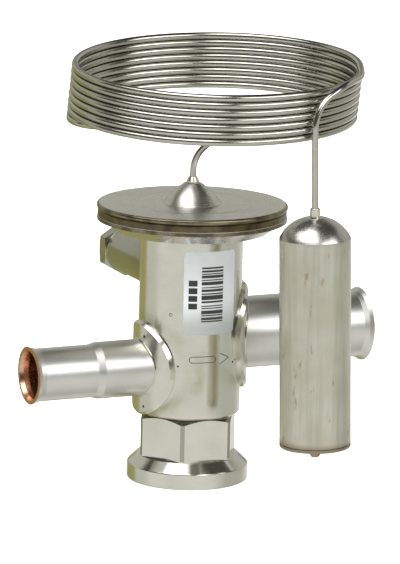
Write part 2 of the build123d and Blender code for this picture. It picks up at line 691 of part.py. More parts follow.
def spring_seat():
    """Lower spring seat: a nut on the spindle with two keys in the keyways."""
    flange_bottom = SPRING_SEAT_BOTTOM + SPRING_SEAT_HUB
    seat = rod(SPRING_SEAT_HUB_RADIUS, SPRING_SEAT_BOTTOM, flange_bottom)
    seat += rod(SPRING_SEAT_RADIUS, flange_bottom, SPRING_SEAT_TOP)
    key_reach = SPRING_CHAMBER_RADIUS + KEYWAY_DEPTH - KEY_GAP
    seat += keyway_pair(KEYWAY_WIDTH - 2 * KEY_GAP, key_reach, flange_bottom, SPRING_SEAT_FLANGE)
    return seat - rod(SPINDLE_SCREW_RADIUS + THREAD_GAP, SPRING_SEAT_BOTTOM, SPRING_SEAT_TOP)


def adjusting_spindle():
    """Square end, sealed shank, thrust collar and lead screw."""
    square_bottom = NECK_BOTTOM - SPINDLE_SQUARE_LENGTH
    spindle = rod(SPINDLE_RADIUS, NECK_BOTTOM, SPINDLE_COLLAR_BOTTOM)
    spindle += Pos(0, 0, (square_bottom + NECK_BOTTOM) / 2) * Box(
        SPINDLE_SQUARE, SPINDLE_SQUARE, SPINDLE_SQUARE_LENGTH
    )
    spindle += rod(SPINDLE_COLLAR_RADIUS, SPINDLE_COLLAR_BOTTOM, SPINDLE_COLLAR_TOP)
    spindle += rod(SPINDLE_SCREW_RADIUS, SPINDLE_COLLAR_TOP, SPINDLE_COLLAR_TOP + SPINDLE_SCREW_LENGTH)
    return spindle


def gland_nut():
    """Screwed bush at the foot of the neck, with two spanner holes."""
    top = NECK_BOTTOM + GLAND_HEIGHT
    gland = ring(SPINDLE_RADIUS + THREAD_GAP, SPRING_CHAMBER_RADIUS - THREAD_GAP, NECK_BOTTOM, top)
    gland -= rod(GLAND_GROOVE_RADIUS, top - GLAND_GROOVE_DEPTH, top)
    hole = rod(GLAND_HOLE_RADIUS, NECK_BOTTOM, NECK_BOTTOM + GLAND_HOLE_DEPTH)
    for side in (-1, 1):
        gland -= Pos(side * GLAND_HOLE_CIRCLE, 0, 0) * hole
    return gland


def spindle_seal():
    """Soft ring in the gland's groove round the spindle."""
    top = NECK_BOTTOM + GLAND_HEIGHT
    return ring(
        SPINDLE_RADIUS + SLIDE_GAP, GLAND_GROOVE_RADIUS - SEAT_GAP,
        top - GLAND_GROOVE_DEPTH, top - 0.4,
    )


def bulb_plane():
    """Frame of the bulb: origin at the centre of its foot, Z along its axis."""
    foot = Vector(*BULB_BASE)
    return Plane(origin=foot, x_dir=(1, 0, 0), z_dir=Vector(*BULB_TOP) - foot)


def bulb_height():
    """Length of the bulb from its foot to the crown."""
    return (Vector(*BULB_TOP) - Vector(*BULB_BASE)).length


def bulb_shell():
    """Drawn cup with a domed crown and an open foot, bored for the capillary."""
    height = bulb_height()
    foot = BULB_PLUG_EDGE + SEAT_GAP
    shoulder = height - BULB_DOME
    bulge = (0.66 * BULB_RADIUS, height - 0.3 * BULB_DOME)
    outer = bulb_wall_face(BULB_RADIUS, foot, shoulder, bulge, height, BULB_CROWN_RADIUS)
    inner_bulge = (bulge[0] - 0.55 * BULB_WALL, bulge[1] - 0.85 * BULB_WALL)
    inner = bulb_wall_face(
        BULB_RADIUS - BULB_WALL, foot, shoulder, inner_bulge,
        height - BULB_WALL, BULB_CROWN_RADIUS - 0.3,
    )
    shell = revolve(outer, Axis.Z) - revolve(inner, Axis.Z)
    shell = fillet(edges_at(shell, foot, BULB_RADIUS), BULB_CRIMP)
    shell -= rod(CAPILLARY_RADIUS + SEAT_GAP, height - 2 * BULB_WALL, height)
    return bulb_plane() * shell


def bulb_wall_face(radius, foot, shoulder, bulge, height, crown):
    """Half section of the bulb: straight side, domed shoulder, flat crown."""
    side = Polyline((0, 0, foot), (radius, 0, foot), (radius, 0, shoulder))
    dome = ThreePointArc((radius, 0, shoulder), (bulge[0], 0, bulge[1]), (crown, 0, height))
    close = Polyline((crown, 0, height), (0, 0, height), (0, 0, foot))
    return make_face(Curve() + [side, dome, close])


def bulb_end_plug():
    """Turned plug crimped into the foot of the bulb."""
    spigot = BULB_RADIUS - BULB_WALL - SEAT_GAP
    plug = rod(BULB_RADIUS, 0, BULB_PLUG_EDGE)
    plug = fillet(edges_at(plug, 0, BULB_RADIUS), BULB_CRIMP)
    plug = plug + rod(spigot, BULB_PLUG_EDGE, BULB_PLUG_EDGE + BULB_PLUG_SPIGOT)
    plug -= rod(BULB_NUB_RADIUS + SEAT_GAP, 0, BULB_PLUG_EDGE)
    return bulb_plane() * plug


def bulb_fill_stem():
    """Pinched and soldered stub of the filling tube."""
    stem = rod(BULB_NUB_RADIUS, -BULB_NUB_LENGTH, BULB_PLUG_EDGE)
    stem = fillet(edges_at(stem, -BULB_NUB_LENGTH, BULB_NUB_RADIUS), 0.6 * BULB_NUB_LENGTH)
    return bulb_plane() * stem


def bulb_ferrule():
    """Brazed bead where the capillary enters the bulb."""
    bore = CAPILLARY_RADIUS + SEAT_GAP
    bottom = bulb_height()
    top = bottom + BULB_FERRULE_HEIGHT
    collar = ring(bore, BULB_FERRULE_RADIUS, bottom, top)
    collar = fillet(edges_at(collar, top, BULB_FERRULE_RADIUS), 0.8 * (BULB_FERRULE_RADIUS - bore))
    return bulb_plane() * collar


def coil_point(right, away, height):
    """Point in the coil's own directions: to its right, away from the label, up."""
    turn = radians(COIL_AZIMUTH)
    return Vector(right * cos(turn) - away * sin(turn), right * sin(turn) + away * cos(turn), height)


def beside_coil(angle, gap, height):
    """Point outside the highest turn, by its angle from the coil's right."""
    reach = COIL_RADIUS + gap
    centre = COIL_CENTRE + COIL_SHEAR
    turn = radians(angle)
    return coil_point(centre + reach * cos(turn), reach * sin(turn), height)


def coil_points():
    """Corners of the polygon that the coil's bends round off, lowest first."""
    corner_radius = COIL_RADIUS / cos(pi / COIL_SIDES)
    corners = []
    count = int(COIL_TURNS * COIL_SIDES)
    for index in range(count + 1):
        share = (index - 0.5) / COIL_SIDES
        angle = radians(COIL_START_ANGLE - 360 * share)
        centre = COIL_CENTRE + COIL_SHEAR * share / COIL_TURNS
        lean = corner_radius * sin(angle) * tan(radians(COIL_TILT))
        height = COIL_START_HEIGHT + COIL_PITCH * share + lean
        corners.append(
            coil_point(centre + corner_radius * cos(angle), corner_radius * sin(angle), height)
        )
    return corners


def head_tail_points():
    """Run from the hub up into the lowest turn, curling the way the coil is wound."""
    curl = COIL_START_HEIGHT
    side = COIL_CENTRE - COIL_RADIUS
    return [
        coil_point(0, 0, HUB_TOP - CAPILLARY_IN_HUB),
        coil_point(0, 0, HUB_TOP + 9.2),
        coil_point(7.5, -2.5, curl - 7.2),
        coil_point(9.5, -13.0, curl - 3.2),
        coil_point(0.5, -23.5, curl - 1.2),
        coil_point(-15.5, -28.5, curl - 0.8),
        coil_point(side + 12.3, -24.5, curl - 0.8),
    ]


def bulb_tail_points():
    """Run from the highest turn down in front of the coil into the bulb's crown."""
    axis = bulb_plane().z_dir
    crown = Vector(*BULB_TOP)
    return [
        beside_coil(-15.4, BULB_TAIL_GAP, COIL_END_HEIGHT - BULB_TAIL_DROP),
        beside_coil(-36.0, 2 * BULB_TAIL_GAP, COIL_END_HEIGHT - 0.7 * BULB_TAIL_DROP),
        crown + axis * 38.0,
        crown - axis * CAPILLARY_IN_BULB,
    ]


def bend_radii(points):
    """Largest tangent radius at each inner point that its two runs allow."""
    radii = []
    for before, here, after in zip(points, points[1:], points[2:]):
        run_in = here - before
        run_out = after - here
        half_turn = radians(run_in.get_angle(run_out)) / 2
        radii.append(BEND_SHARE * min(run_in.length, run_out.length) / tan(half_turn))
    return radii


def capillary_path():
    """Centre line of the capillary from the hub to the bulb."""
    points = head_tail_points() + coil_points() + bulb_tail_points()
    radii = bend_radii(points)
    print("capillary bends", len(radii), "smallest radius", round(min(radii), 1))
    return FilletPolyline(*points, radius=radii)


def capillary_tube():
    """The whole capillary as one tube."""
    path = capillary_path()
    section = Plane(path @ 0, z_dir=path % 0) * Circle(CAPILLARY_RADIUS)
    print("capillary length", round(path.length, 1))
    return sweep(section, path=path)


def label():
    """Thin sheet on the front of the body with rounded corners."""
    inner = BODY_RADIUS + SEAT_GAP
    middle = LABEL_BOTTOM + LABEL_HEIGHT / 2
    sheet = ring(inner, inner + LABEL_THICKNESS, LABEL_BOTTOM, LABEL_BOTTOM + LABEL_HEIGHT)
    above_outlet = max(0, LABEL_BOTTOM - OUTLET_HEIGHT)
    collar_spread = sqrt(OUTLET_COLLAR_REACH**2 - above_outlet**2)
    neutral = BODY_RADIUS + OUTLET_COLLAR_THICKNESS / 2
    half_angle = pi / 2 - collar_spread / neutral - LABEL_SIDE_GAP / BODY_RADIUS
    width = 2 * inner * sin(half_angle)
    outline = Plane(origin=(0, 0, middle), x_dir=(1, 0, 0), z_dir=(0, -1, 0)) * RectangleRounded(
        width, LABEL_HEIGHT, LABEL_CORNER
    )
    return sheet & extrude(outline, BODY_RADIUS * 2)


PIECES = [
    seal_cap, cap_gasket, valve_body, gland_nut, spindle_seal, adjusting_spindle,
    spring_seat, superheat_spring, cone_carrier, valve_cone, orifice_seat, push_rod,
    rod_guide, rod_seal, seal_retainer, thrust_pad, lower_casing, diaphragm,
    casing_ring, upper_casing, head_ferrule, capillary_tube, bulb_ferrule, bulb_shell,
    bulb_end_plug, bulb_fill_stem, inlet_saddle, inlet_tube, inlet_copper_liner,
    outlet_saddle, outlet_tube, outlet_copper_liner, equalizer_connector, label,
]

os.makedirs("parts", exist_ok=True)
for piece in PIECES:
    export_step(piece(), os.path.join("parts", piece.__name__ + ".step"))
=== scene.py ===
"""Finishes and small fittings of a thermostatic expansion valve."""

import json
import logging
from dataclasses import dataclass
from enum import Enum
from math import cos, pi, radians, sin, sqrt
from typing import Iterable, Sequence

import bmesh
import bpy
from mathutils import Matrix, Vector

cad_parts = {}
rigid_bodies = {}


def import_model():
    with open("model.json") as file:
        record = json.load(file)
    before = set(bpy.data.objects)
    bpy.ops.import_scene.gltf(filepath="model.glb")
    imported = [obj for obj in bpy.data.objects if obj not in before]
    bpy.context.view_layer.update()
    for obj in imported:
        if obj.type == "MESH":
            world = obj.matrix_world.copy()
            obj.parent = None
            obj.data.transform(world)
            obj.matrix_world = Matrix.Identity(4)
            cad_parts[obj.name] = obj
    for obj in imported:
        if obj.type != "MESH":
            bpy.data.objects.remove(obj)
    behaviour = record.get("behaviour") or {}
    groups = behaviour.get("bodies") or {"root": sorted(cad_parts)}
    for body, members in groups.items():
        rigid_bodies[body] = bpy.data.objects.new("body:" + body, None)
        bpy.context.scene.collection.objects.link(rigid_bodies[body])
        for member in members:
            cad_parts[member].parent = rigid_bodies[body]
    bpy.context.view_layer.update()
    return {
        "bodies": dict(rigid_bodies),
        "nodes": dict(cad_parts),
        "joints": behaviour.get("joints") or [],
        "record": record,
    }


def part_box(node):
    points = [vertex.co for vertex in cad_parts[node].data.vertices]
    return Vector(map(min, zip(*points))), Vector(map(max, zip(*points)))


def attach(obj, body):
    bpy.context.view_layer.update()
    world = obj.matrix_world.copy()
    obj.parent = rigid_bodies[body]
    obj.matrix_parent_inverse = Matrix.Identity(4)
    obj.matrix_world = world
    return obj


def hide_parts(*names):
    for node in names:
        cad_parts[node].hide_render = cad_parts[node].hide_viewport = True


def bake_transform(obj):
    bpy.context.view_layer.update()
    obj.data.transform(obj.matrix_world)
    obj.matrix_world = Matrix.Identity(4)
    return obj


Colour = tuple[float, float, float]
Point = tuple[float, float, float]
Range = tuple[float, float]
Mesh = tuple[list[Point], list[list[int]]]
Socket = bpy.types.NodeSocket

MM = 0.001
VALVE = "valve"
DRAWN_STRETCH = 0.02
FINE_DETAIL = 2.0
CLOUD_DETAIL = 3.0

log = logging.getLogger("valve")


class Grain(Enum):
    """Direction of the fine marks that making a piece leaves on it."""

    PLAIN = "plain"
    TURNED = "turned about the upright axis"
    TURNED_X = "turned about the tubes' axis"
    TURNED_Y = "turned about the connector's axis"
    DRAWN_Z = "drawn upright"


class Bench:
    """Node tree, with the few node chains that the materials and the surroundings share."""

    def __init__(self, tree: bpy.types.NodeTree) -> None:
        """Take up a node tree.

        Args:
            tree: Tree of a material or of the world.
        """
        self.tree = tree

    def add(self, kind: str, **settings: object) -> bpy.types.Node:
        """Add a node.

        Args:
            kind: Name of the node type.
            **settings: Properties to set on the node.

        Returns:
            The new node.
        """
        node = self.tree.nodes.new(kind)
        for name, value in settings.items():
            setattr(node, name, value)
        return node

    def link(self, source: Socket, target: Socket) -> None:
        """Join an output socket to an input socket."""
        self.tree.links.new(source, target)

    def feed(self, target: Socket, value: "Socket | float | Sequence[float]") -> None:
        """Link a socket, or set a plain value.

        Args:
            target: Input socket.
            value: Output socket or value for it.
        """
        if isinstance(value, bpy.types.NodeSocket):
            self.link(value, target)
        else:
            target.default_value = value

    def math(self, operation: str, *values: "Socket | float") -> Socket:
        """Work out one sum.

        Args:
            operation: Name of the sum.
            *values: Sockets or numbers that go in.

        Returns:
            The result's socket.
        """
        node = self.add("ShaderNodeMath", operation=operation)
        for target, value in zip(node.inputs, values):
            self.feed(target, value)
        return node.outputs[0]

    def split(self, vector: Socket) -> tuple[Socket, Socket, Socket]:
        """Take a vector apart.

        Args:
            vector: Vector socket.

        Returns:
            Sockets of its three numbers.
        """
        node = self.add("ShaderNodeSeparateXYZ")
        self.link(vector, node.inputs[0])
        return node.outputs[0], node.outputs[1], node.outputs[2]

    def join(self, *values: "Socket | float") -> Socket:
        """Make a vector of up to three numbers.

        Args:
            *values: Sockets or numbers.

        Returns:
            The vector's socket.
        """
        node = self.add("ShaderNodeCombineXYZ")
        for target, value in zip(node.inputs, values):
            self.feed(target, value)
        return node.outputs[0]

    def ramp(self, value: Socket, start: float, end: float, low: float = 0.0, high: float = 1.0) -> Socket:
        """Map a range onto another with soft ends.

        Args:
            value: Number that goes in.
            start: Where the ramp starts.
            end: Where the ramp ends.
            low: Result before the start.
            high: Result after the end.

        Returns:
            The result's socket.
        """
        node = self.add("ShaderNodeMapRange", interpolation_type="SMOOTHSTEP")
        self.link(value, node.inputs["Value"])
        for name, number in (("From Min", start), ("From Max", end), ("To Min", low), ("To Max", high)):
            node.inputs[name].default_value = number
        return node.outputs["Result"]

    def blend(self, share: Socket, first: "Socket | Colour", second: "Socket | Colour") -> Socket:
        """Mix two colours.

        Args:
            share: Share of the second colour.
            first: Socket or colour shown at 0.
            second: Socket or colour shown at 1.

        Returns:
            The mixed colour's socket.
        """
        node = self.add("ShaderNodeMix", data_type="RGBA")
        self.link(share, node.inputs["Factor"])
        for target, value in ((node.inputs["A"], first), (node.inputs["B"], second)):
            self.feed(target, value if isinstance(value, bpy.types.NodeSocket) else (*value, 1.0))
        return node.outputs["Result"]


class NodeBench(Bench):
    """Node tree of one material, with the chains that its finish needs."""

    def __init__(self, name: str) -> None:
        """Start an empty Principled material.

        Args:
            name: Name of the material.
        """
        self.material = bpy.data.materials.new(name)
        self.material.use_nodes = True
        super().__init__(self.material.node_tree)
        self.shader = self.tree.nodes["Principled BSDF"]
        self.place = self.add("ShaderNodeTexCoord").outputs["Object"]

    def stretched(self, scale: Point) -> Socket:
        """Stretch the surface's own coordinates.

        Args:
            scale: Factor for each direction.

        Returns:
            The stretched vector's socket.
        """
        node = self.add("ShaderNodeMapping")
        self.link(self.place, node.inputs["Vector"])
        node.inputs["Scale"].default_value = scale
        return node.outputs[0]

    def noise(self, vector: Socket, scale: float, detail: float = FINE_DETAIL) -> Socket:
        """Drift between 0 and 1 over the surface.

        Args:
            vector: Coordinates.
            scale: Waves to the metre.
            detail: Layers of finer waves.

        Returns:
            The noise's socket.
        """
        node = self.add("ShaderNodeTexNoise")
        self.link(vector, node.inputs["Vector"])
        node.inputs["Scale"].default_value = scale
        node.inputs["Detail"].default_value = detail
        return node.outputs["Fac"]

    def bump(self, height: Socket, depth: float, below: "Socket | None" = None) -> Socket:
        """Raise or sink the surface a little.

        Args:
            height: Height between 0 and 1.
            depth: Depth in metres that 1 stands for.
            below: Normal of a bump that lies under this one.

        Returns:
            The normal's socket.
        """
        node = self.add("ShaderNodeBump")
        node.inputs["Distance"].default_value = depth
        self.link(height, node.inputs["Height"])
        if below is not None:
            self.link(below, node.inputs["Normal"])
        return node.outputs["Normal"]

    def tint(self, share: Socket, colour: "Socket | Colour") -> None:
        """Lay a colour over the base colour.

        Args:
            share: Share of the new colour.
            colour: Socket or colour laid over the old one.
        """
        base = self.shader.inputs["Base Color"]
        self.link(self.blend(share, base.links[0].from_socket, colour), base)

    def around(self, first: Socket, second: Socket) -> Socket:
        """Distance from an axis, from the two coordinates across it."""
        squares = self.math("MULTIPLY", first, first), self.math("MULTIPLY", second, second)
        return self.math("SQRT", self.math("ADD", *squares))

    def grain(self, grain: Grain) -> Socket:
        """Coordinates in which noise turns into the marks of a way of making.

        Args:
            grain: Direction of the marks.

        Returns:
            The coordinates' socket.
        """
        x, y, z = self.split(self.place)
        if grain is Grain.TURNED:
            return self.join(self.around(x, y), 0.0, z)
        if grain is Grain.TURNED_X:
            return self.join(x, self.around(y, z), 0.0)
        if grain is Grain.TURNED_Y:
            return self.join(self.around(x, z), y, 0.0)
        if grain is Grain.DRAWN_Z:
            return self.stretched((1.0, 1.0, DRAWN_STRETCH))
        return self.place


@dataclass(frozen=True)
class HeatTint:
    """Straw and brown ring that brazing leaves round a joint."""

    side: float
    height: float
    start: float
    end: float
    colour: Colour = (0.46, 0.45, 0.31)
    strength: float = 0.55
    faintest: float = 0.15
    patch_scale: float = 90.0
    patch_range: Range = (0.35, 0.65)
    rise_share: float = 0.3
    facing: float = 4.0

    def apply(self, bench: NodeBench, colour: Socket) -> Socket:
        """Lay the ring over a colour.

        Args:
            bench: Node tree.
            colour: Colour under the ring.

        Returns:
            The tinted colour's socket.
        """
        x, y, z = bench.split(bench.place)
        reach = bench.around(y, bench.math("SUBTRACT", z, self.height * MM))
        width = self.end - self.start
        rise = bench.ramp(reach, (self.start - self.rise_share * width) * MM, self.start * MM)
        fall = bench.ramp(reach, self.start * MM, self.end * MM, 1.0, 0.0)
        facing = bench.ramp(bench.math("MULTIPLY", x, self.side), 0.0, self.facing * MM)
        cloud = bench.noise(bench.place, self.patch_scale)
        patches = bench.ramp(cloud, *self.patch_range, self.faintest, self.strength)
        ring = bench.math("MULTIPLY", rise, fall)
        share = bench.math("MULTIPLY", ring, bench.math("MULTIPLY", facing, patches))
        return bench.blend(share, colour, self.colour)


@dataclass(frozen=True)
class MetalFinish:
    """Bare metal with a drifting tone, uneven gloss and the marks of its making."""

    name: str
    colour: Colour
    cloud: Colour
    roughness: float = 0.25
    spread: float = 0.06
    grain: Grain = Grain.PLAIN
    grain_scale: float = 2500.0
    grain_depth: float = 0.00001
    cloud_scale: float = 55.0
    wave: float = 0.0
    wave_scale: float = 140.0
    tints: tuple[HeatTint, ...] = ()
    drift_range: Range = (0.32, 0.68)
    gloss_range: Range = (0.3, 0.7)
    gloss_factor: float = 3.1

    def bench(self) -> NodeBench:
        """Build the material's nodes.

        Returns:
            The node tree, ready for more.
        """
        bench = NodeBench(self.name)
        shader = bench.shader.inputs
        shader["Metallic"].default_value = 1.0
        drift = bench.ramp(bench.noise(bench.place, self.cloud_scale, CLOUD_DETAIL), *self.drift_range)
        colour = bench.blend(drift, self.colour, self.cloud)
        for tint in self.tints:
            colour = tint.apply(bench, colour)
        bench.link(colour, shader["Base Color"])
        marks = bench.noise(bench.grain(self.grain), self.grain_scale)
        patchy = bench.noise(bench.place, self.gloss_factor * self.cloud_scale, CLOUD_DETAIL)
        gloss = bench.math("MULTIPLY", bench.math("ADD", marks, patchy), 0.5)
        least, most = self.roughness - self.spread, self.roughness + self.spread
        bench.link(bench.ramp(gloss, *self.gloss_range, least, most), shader["Roughness"])
        normal = bench.bump(marks, self.grain_depth)
        if self.wave:
            normal = bench.bump(bench.noise(bench.place, self.wave_scale), self.wave, normal)
        bench.link(normal, shader["Normal"])
        return bench

    def material(self) -> bpy.types.Material:
        """Build the material."""
        return self.bench().material


@dataclass(frozen=True)
class SoftFinish:
    """Rubber, plastic or paper: a dull skin with a fine tooth."""

    name: str
    colour: Colour
    cloud: Colour
    roughness: float
    tooth_scale: float = 1800.0
    tooth_depth: float = 0.00001
    coat: float = 0.0
    coat_roughness: float = 0.2
    cloud_scale: float = 70.0
    drift_range: Range = (0.35, 0.65)

    def bench(self) -> NodeBench:
        """Build the material's nodes.

        Returns:
            The node tree, ready for more.
        """
        bench = NodeBench(self.name)
        shader = bench.shader.inputs
        shader["Roughness"].default_value = self.roughness
        shader["Coat Weight"].default_value = self.coat
        shader["Coat Roughness"].default_value = self.coat_roughness
        drift = bench.ramp(bench.noise(bench.place, self.cloud_scale, CLOUD_DETAIL), *self.drift_range)
        bench.link(bench.blend(drift, self.colour, self.cloud), shader["Base Color"])
        tooth = bench.noise(bench.place, self.tooth_scale)
        bench.link(bench.bump(tooth, self.tooth_depth), shader["Normal"])
        return bench

    def material(self) -> bpy.types.Material:
        """Build the material."""
        return self.bench().material


def dress(frame: dict, node: str, material: bpy.types.Material) -> None:
    """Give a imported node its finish.

    Args:
        frame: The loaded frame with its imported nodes.
        node: Name of the node.
        material: Finish for it.
    """
    mesh = frame["nodes"][node].data
    mesh.materials.clear()
    mesh.materials.append(material)


def mesh_object(name: str, points: Iterable[Point], faces: Iterable[Sequence[int]], body: str,
                material: bpy.types.Material, crease: float = 30.0) -> bpy.types.Object:
    """Make a mesh piece that rides on a body.

    Args:
        name: Name of the piece.
        points: Vertices in metres.
        faces: Vertex numbers of each face.
        body: Body that carries the piece.
        material: Finish.
        crease: Angle above which an edge stays sharp, in degrees.

    Returns:
        The new object.
    """
    mesh = bpy.data.meshes.new(name)
    mesh.from_pydata(list(points), [], list(faces))
    mesh.validate()
    mesh.shade_smooth()
    mesh.set_sharp_from_angle(angle=radians(crease))
    mesh.materials.append(material)
    piece = bpy.data.objects.new(name, mesh)
    bpy.context.scene.collection.objects.link(piece)
    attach(piece, body)
    return piece


def joined(pieces: Iterable[Mesh]) -> Mesh:
    """Put several meshes into one.

    Args:
        pieces: Vertices and faces of each.

    Returns:
        Vertices and faces of them all.
    """
    points: list[Point] = []
    faces: list[list[int]] = []
    for corners, sides in pieces:
        start = len(points)
        points += corners
        faces += [[start + number for number in side] for side in sides]
    return points, faces


def closed_tube(path: Sequence[Vector], radius: float, sides: int = 8) -> Mesh:
    """Skin a round bead along a closed line about the origin.

    Args:
        path: Points of the line.
        radius: Radius of the bead.
        sides: Faces round the bead.

    Returns:
        Vertices and faces.
    """
    points: list[Point] = []
    faces: list[list[int]] = []
    count = len(path)
    for index, here in enumerate(path):
        along = (path[(index + 1) % count] - path[index - 1]).normalized()
        outward = here.normalized()
        side = (outward - along * outward.dot(along)).normalized()
        other = along.cross(side)
        for step in range(sides):
            turn = 2 * pi * step / sides
            points.append(tuple(here + (side * cos(turn) + other * sin(turn)) * radius))
    for index in range(count):
        for step in range(sides):
            following = (index + 1) % count
            after = (step + 1) % sides
            faces.append([index * sides + step, following * sides + step,
                          following * sides + after, index * sides + after])
    return points, faces


@dataclass
class Studio:
    """White table and soft panels round the valve, and the camera."""

    azimuth: float = -24.0
    distance: float = 1.53897
    height: float = 0.39091
    offset: float = -0.003335
    pitch: float = 0.205
    roll: float = 0.0206
    focal_pixels: float = 4423.7
    frame_pixels: float = 564.0
    sensor: float = 36.0
    nearest: float = 0.1
    farthest: float = 20.0
    floor_size: float = 6.0
    floor_level: float = -0.0001
    floor_roughness: float = 0.8
    floor_glow: float = 0.35
    floor_colour: Colour = (0.93, 0.93, 0.925)
    floor_cloud: Colour = (0.95, 0.95, 0.945)
    floor_scale: float = 4.0
    floor_range: Range = (0.3, 0.7)
    white: Colour = (1.0, 1.0, 1.0)
    light_size: float = 3.0
    light_energy: float = 100.0
    light_place: Point = (-0.3, -0.7, 2.2)

    def place_camera(self) -> None:
        """Put the camera a little above the valve, turned towards it."""
        right = Vector((cos(self.roll), 0, sin(self.roll)))
        ahead = Vector((sin(self.pitch) * sin(self.roll), cos(self.pitch), -sin(self.pitch) * cos(self.roll)))
        above = right.cross(ahead)
        turn = Matrix.Rotation(radians(self.azimuth), 4, "Z")
        axes = Matrix((right, above, -ahead)).transposed().to_4x4()
        spot = Matrix.Translation(Vector((self.offset, -self.distance, self.height)))
        camera = bpy.data.cameras.new("camera")
        camera.sensor_width = self.sensor
        camera.lens = camera.sensor_width * self.focal_pixels / self.frame_pixels
        camera.clip_start = self.nearest
        camera.clip_end = self.farthest
        holder = bpy.data.objects.new("camera", camera)
        bpy.context.scene.collection.objects.link(holder)
        holder.matrix_world = turn @ spot @ axes
        bpy.context.scene.camera = holder

    def lay_floor(self) -> None:
        """Lay the pale table."""
        bench = NodeBench("table_white")
        shader = bench.shader.inputs
        shader["Roughness"].default_value = self.floor_roughness
        tone = bench.ramp(bench.noise(bench.place, self.floor_scale), *self.floor_range)
        bench.link(bench.blend(tone, self.floor_colour, self.floor_cloud), shader["Base Color"])
        shader["Emission Color"].default_value = (*self.white, 1.0)
        shader["Emission Strength"].default_value = self.floor_glow
        half = self.floor_size / 2
        corners = ((-half, -half), (half, -half), (half, half), (-half, half))
        mesh = bpy.data.meshes.new("table")
        mesh.from_pydata([(x, y, self.floor_level) for x, y in corners], [], [[0, 1, 2, 3]])
        mesh.materials.append(bench.material)
        floor = bpy.data.objects.new("table", mesh)
        bpy.context.scene.collection.objects.link(floor)
        floor.visible_glossy = False

    def hang_light(self) -> None:
        """Hang one wide soft light over the table."""
        light = bpy.data.lights.new("overhead", "AREA")
        light.shape = "DISK"
        light.size = self.light_size
        light.energy = self.light_energy
        holder = bpy.data.objects.new("overhead", light)
        bpy.context.scene.collection.objects.link(holder)
        holder.location = self.light_place
        holder.rotation_euler = (-Vector(self.light_place)).to_track_quat("-Z", "Y").to_euler()
        holder.visible_glossy = False

    def build(self) -> None:
        """Set the whole studio up."""
        self.place_camera()
        self.lay_floor()
        self.hang_light()
        Surroundings(self.azimuth).build()
        bpy.context.scene.view_settings.view_transform = "Standard"


@dataclass(frozen=True)
class Panel:
    """Soft patch of the surroundings, by its direction seen from the valve."""

    centre: float
    half_width: float
    bottom: float
    top: float
    colour: Colour
    soft: float = 6.0


@dataclass
class Surroundings:
    """What the metal mirrors: a pale table, a dim room and the studio's soft boxes."""

    azimuth: float
    room: Colour = (0.065, 0.066, 0.055)
    wall: Panel = Panel(centre=180, half_width=75, bottom=3, top=40, colour=(0.50, 0.50, 0.455), soft=8)
    table: Panel = Panel(centre=0, half_width=200, bottom=-95, top=-3,
                         colour=(0.76, 0.755, 0.71), soft=4)
    right_shade: Panel = Panel(centre=105, half_width=37, bottom=-95, top=-3,
                               colour=(0.45, 0.45, 0.40), soft=40)
    left_shade: Panel = Panel(centre=-105, half_width=24, bottom=-95, top=-3,
                              colour=(0.58, 0.575, 0.52), soft=26)
    olive_edge: Panel = Panel(centre=-152, half_width=33, bottom=-60, top=3,
                              colour=(0.35, 0.335, 0.14), soft=8)
    large_box: Panel = Panel(centre=-45, half_width=55, bottom=42, top=84, colour=(3.0, 3.0, 2.95), soft=9)
    small_box: Panel = Panel(centre=50, half_width=29, bottom=14, top=44, colour=(2.7, 2.7, 2.7), soft=7)

    def build(self) -> None:
        """Build the world's nodes."""
        world = bpy.data.worlds.new("studio_room")
        world.use_nodes = True
        bpy.context.scene.world = world
        bench = Bench(world.node_tree)
        bench.tree.nodes.clear()
        place = bench.add("ShaderNodeTexCoord").outputs["Generated"]
        colour: "Socket | Colour" = self.room
        for panel in (self.wall, self.table, self.right_shade, self.left_shade, self.olive_edge,
                      self.large_box, self.small_box):
            colour = self.lay(bench, panel, place, colour)
        seen = bench.add("ShaderNodeBackground")
        seen.inputs["Color"].default_value = (1, 1, 1, 1)
        mirrored = bench.add("ShaderNodeBackground")
        bench.link(colour, mirrored.inputs["Color"])
        mix = bench.add("ShaderNodeMixShader")
        bench.link(bench.add("ShaderNodeLightPath").outputs["Is Camera Ray"], mix.inputs[0])
        bench.link(mirrored.outputs[0], mix.inputs[1])
        bench.link(seen.outputs[0], mix.inputs[2])
        bench.link(mix.outputs[0], bench.add("ShaderNodeOutputWorld").inputs["Surface"])

    def lay(self, bench: Bench, panel: Panel, place: Socket, under: "Socket | Colour") -> Socket:
        """Lay one panel over what is there.

        Args:
            bench: The world's node tree.
            panel: The panel.
            place: Direction.
            under: Colour so far.

        Returns:
            The colour with the panel.
        """
        turn = bench.add("ShaderNodeVectorRotate", rotation_type="Z_AXIS")
        turn.inputs["Angle"].default_value = -radians(self.azimuth + panel.centre)
        bench.link(place, turn.inputs["Vector"])
        aside, behind, above = bench.split(turn.outputs[0])
        across = bench.math("ABSOLUTE", bench.math("ARCTAN2", aside, bench.math("MULTIPLY", behind, -1.0)))
        height = bench.math("ARCSINE", above)
        edge = panel.soft / 2
        side = bench.ramp(across, radians(panel.half_width + edge), radians(panel.half_width - edge))
        low = bench.ramp(height, radians(panel.bottom - edge), radians(panel.bottom + edge))
        high = bench.ramp(height, radians(panel.top + edge), radians(panel.top - edge))
        share = bench.math("MULTIPLY", side, bench.math("MULTIPLY", low, high))
        return bench.blend(share, under, panel.colour)


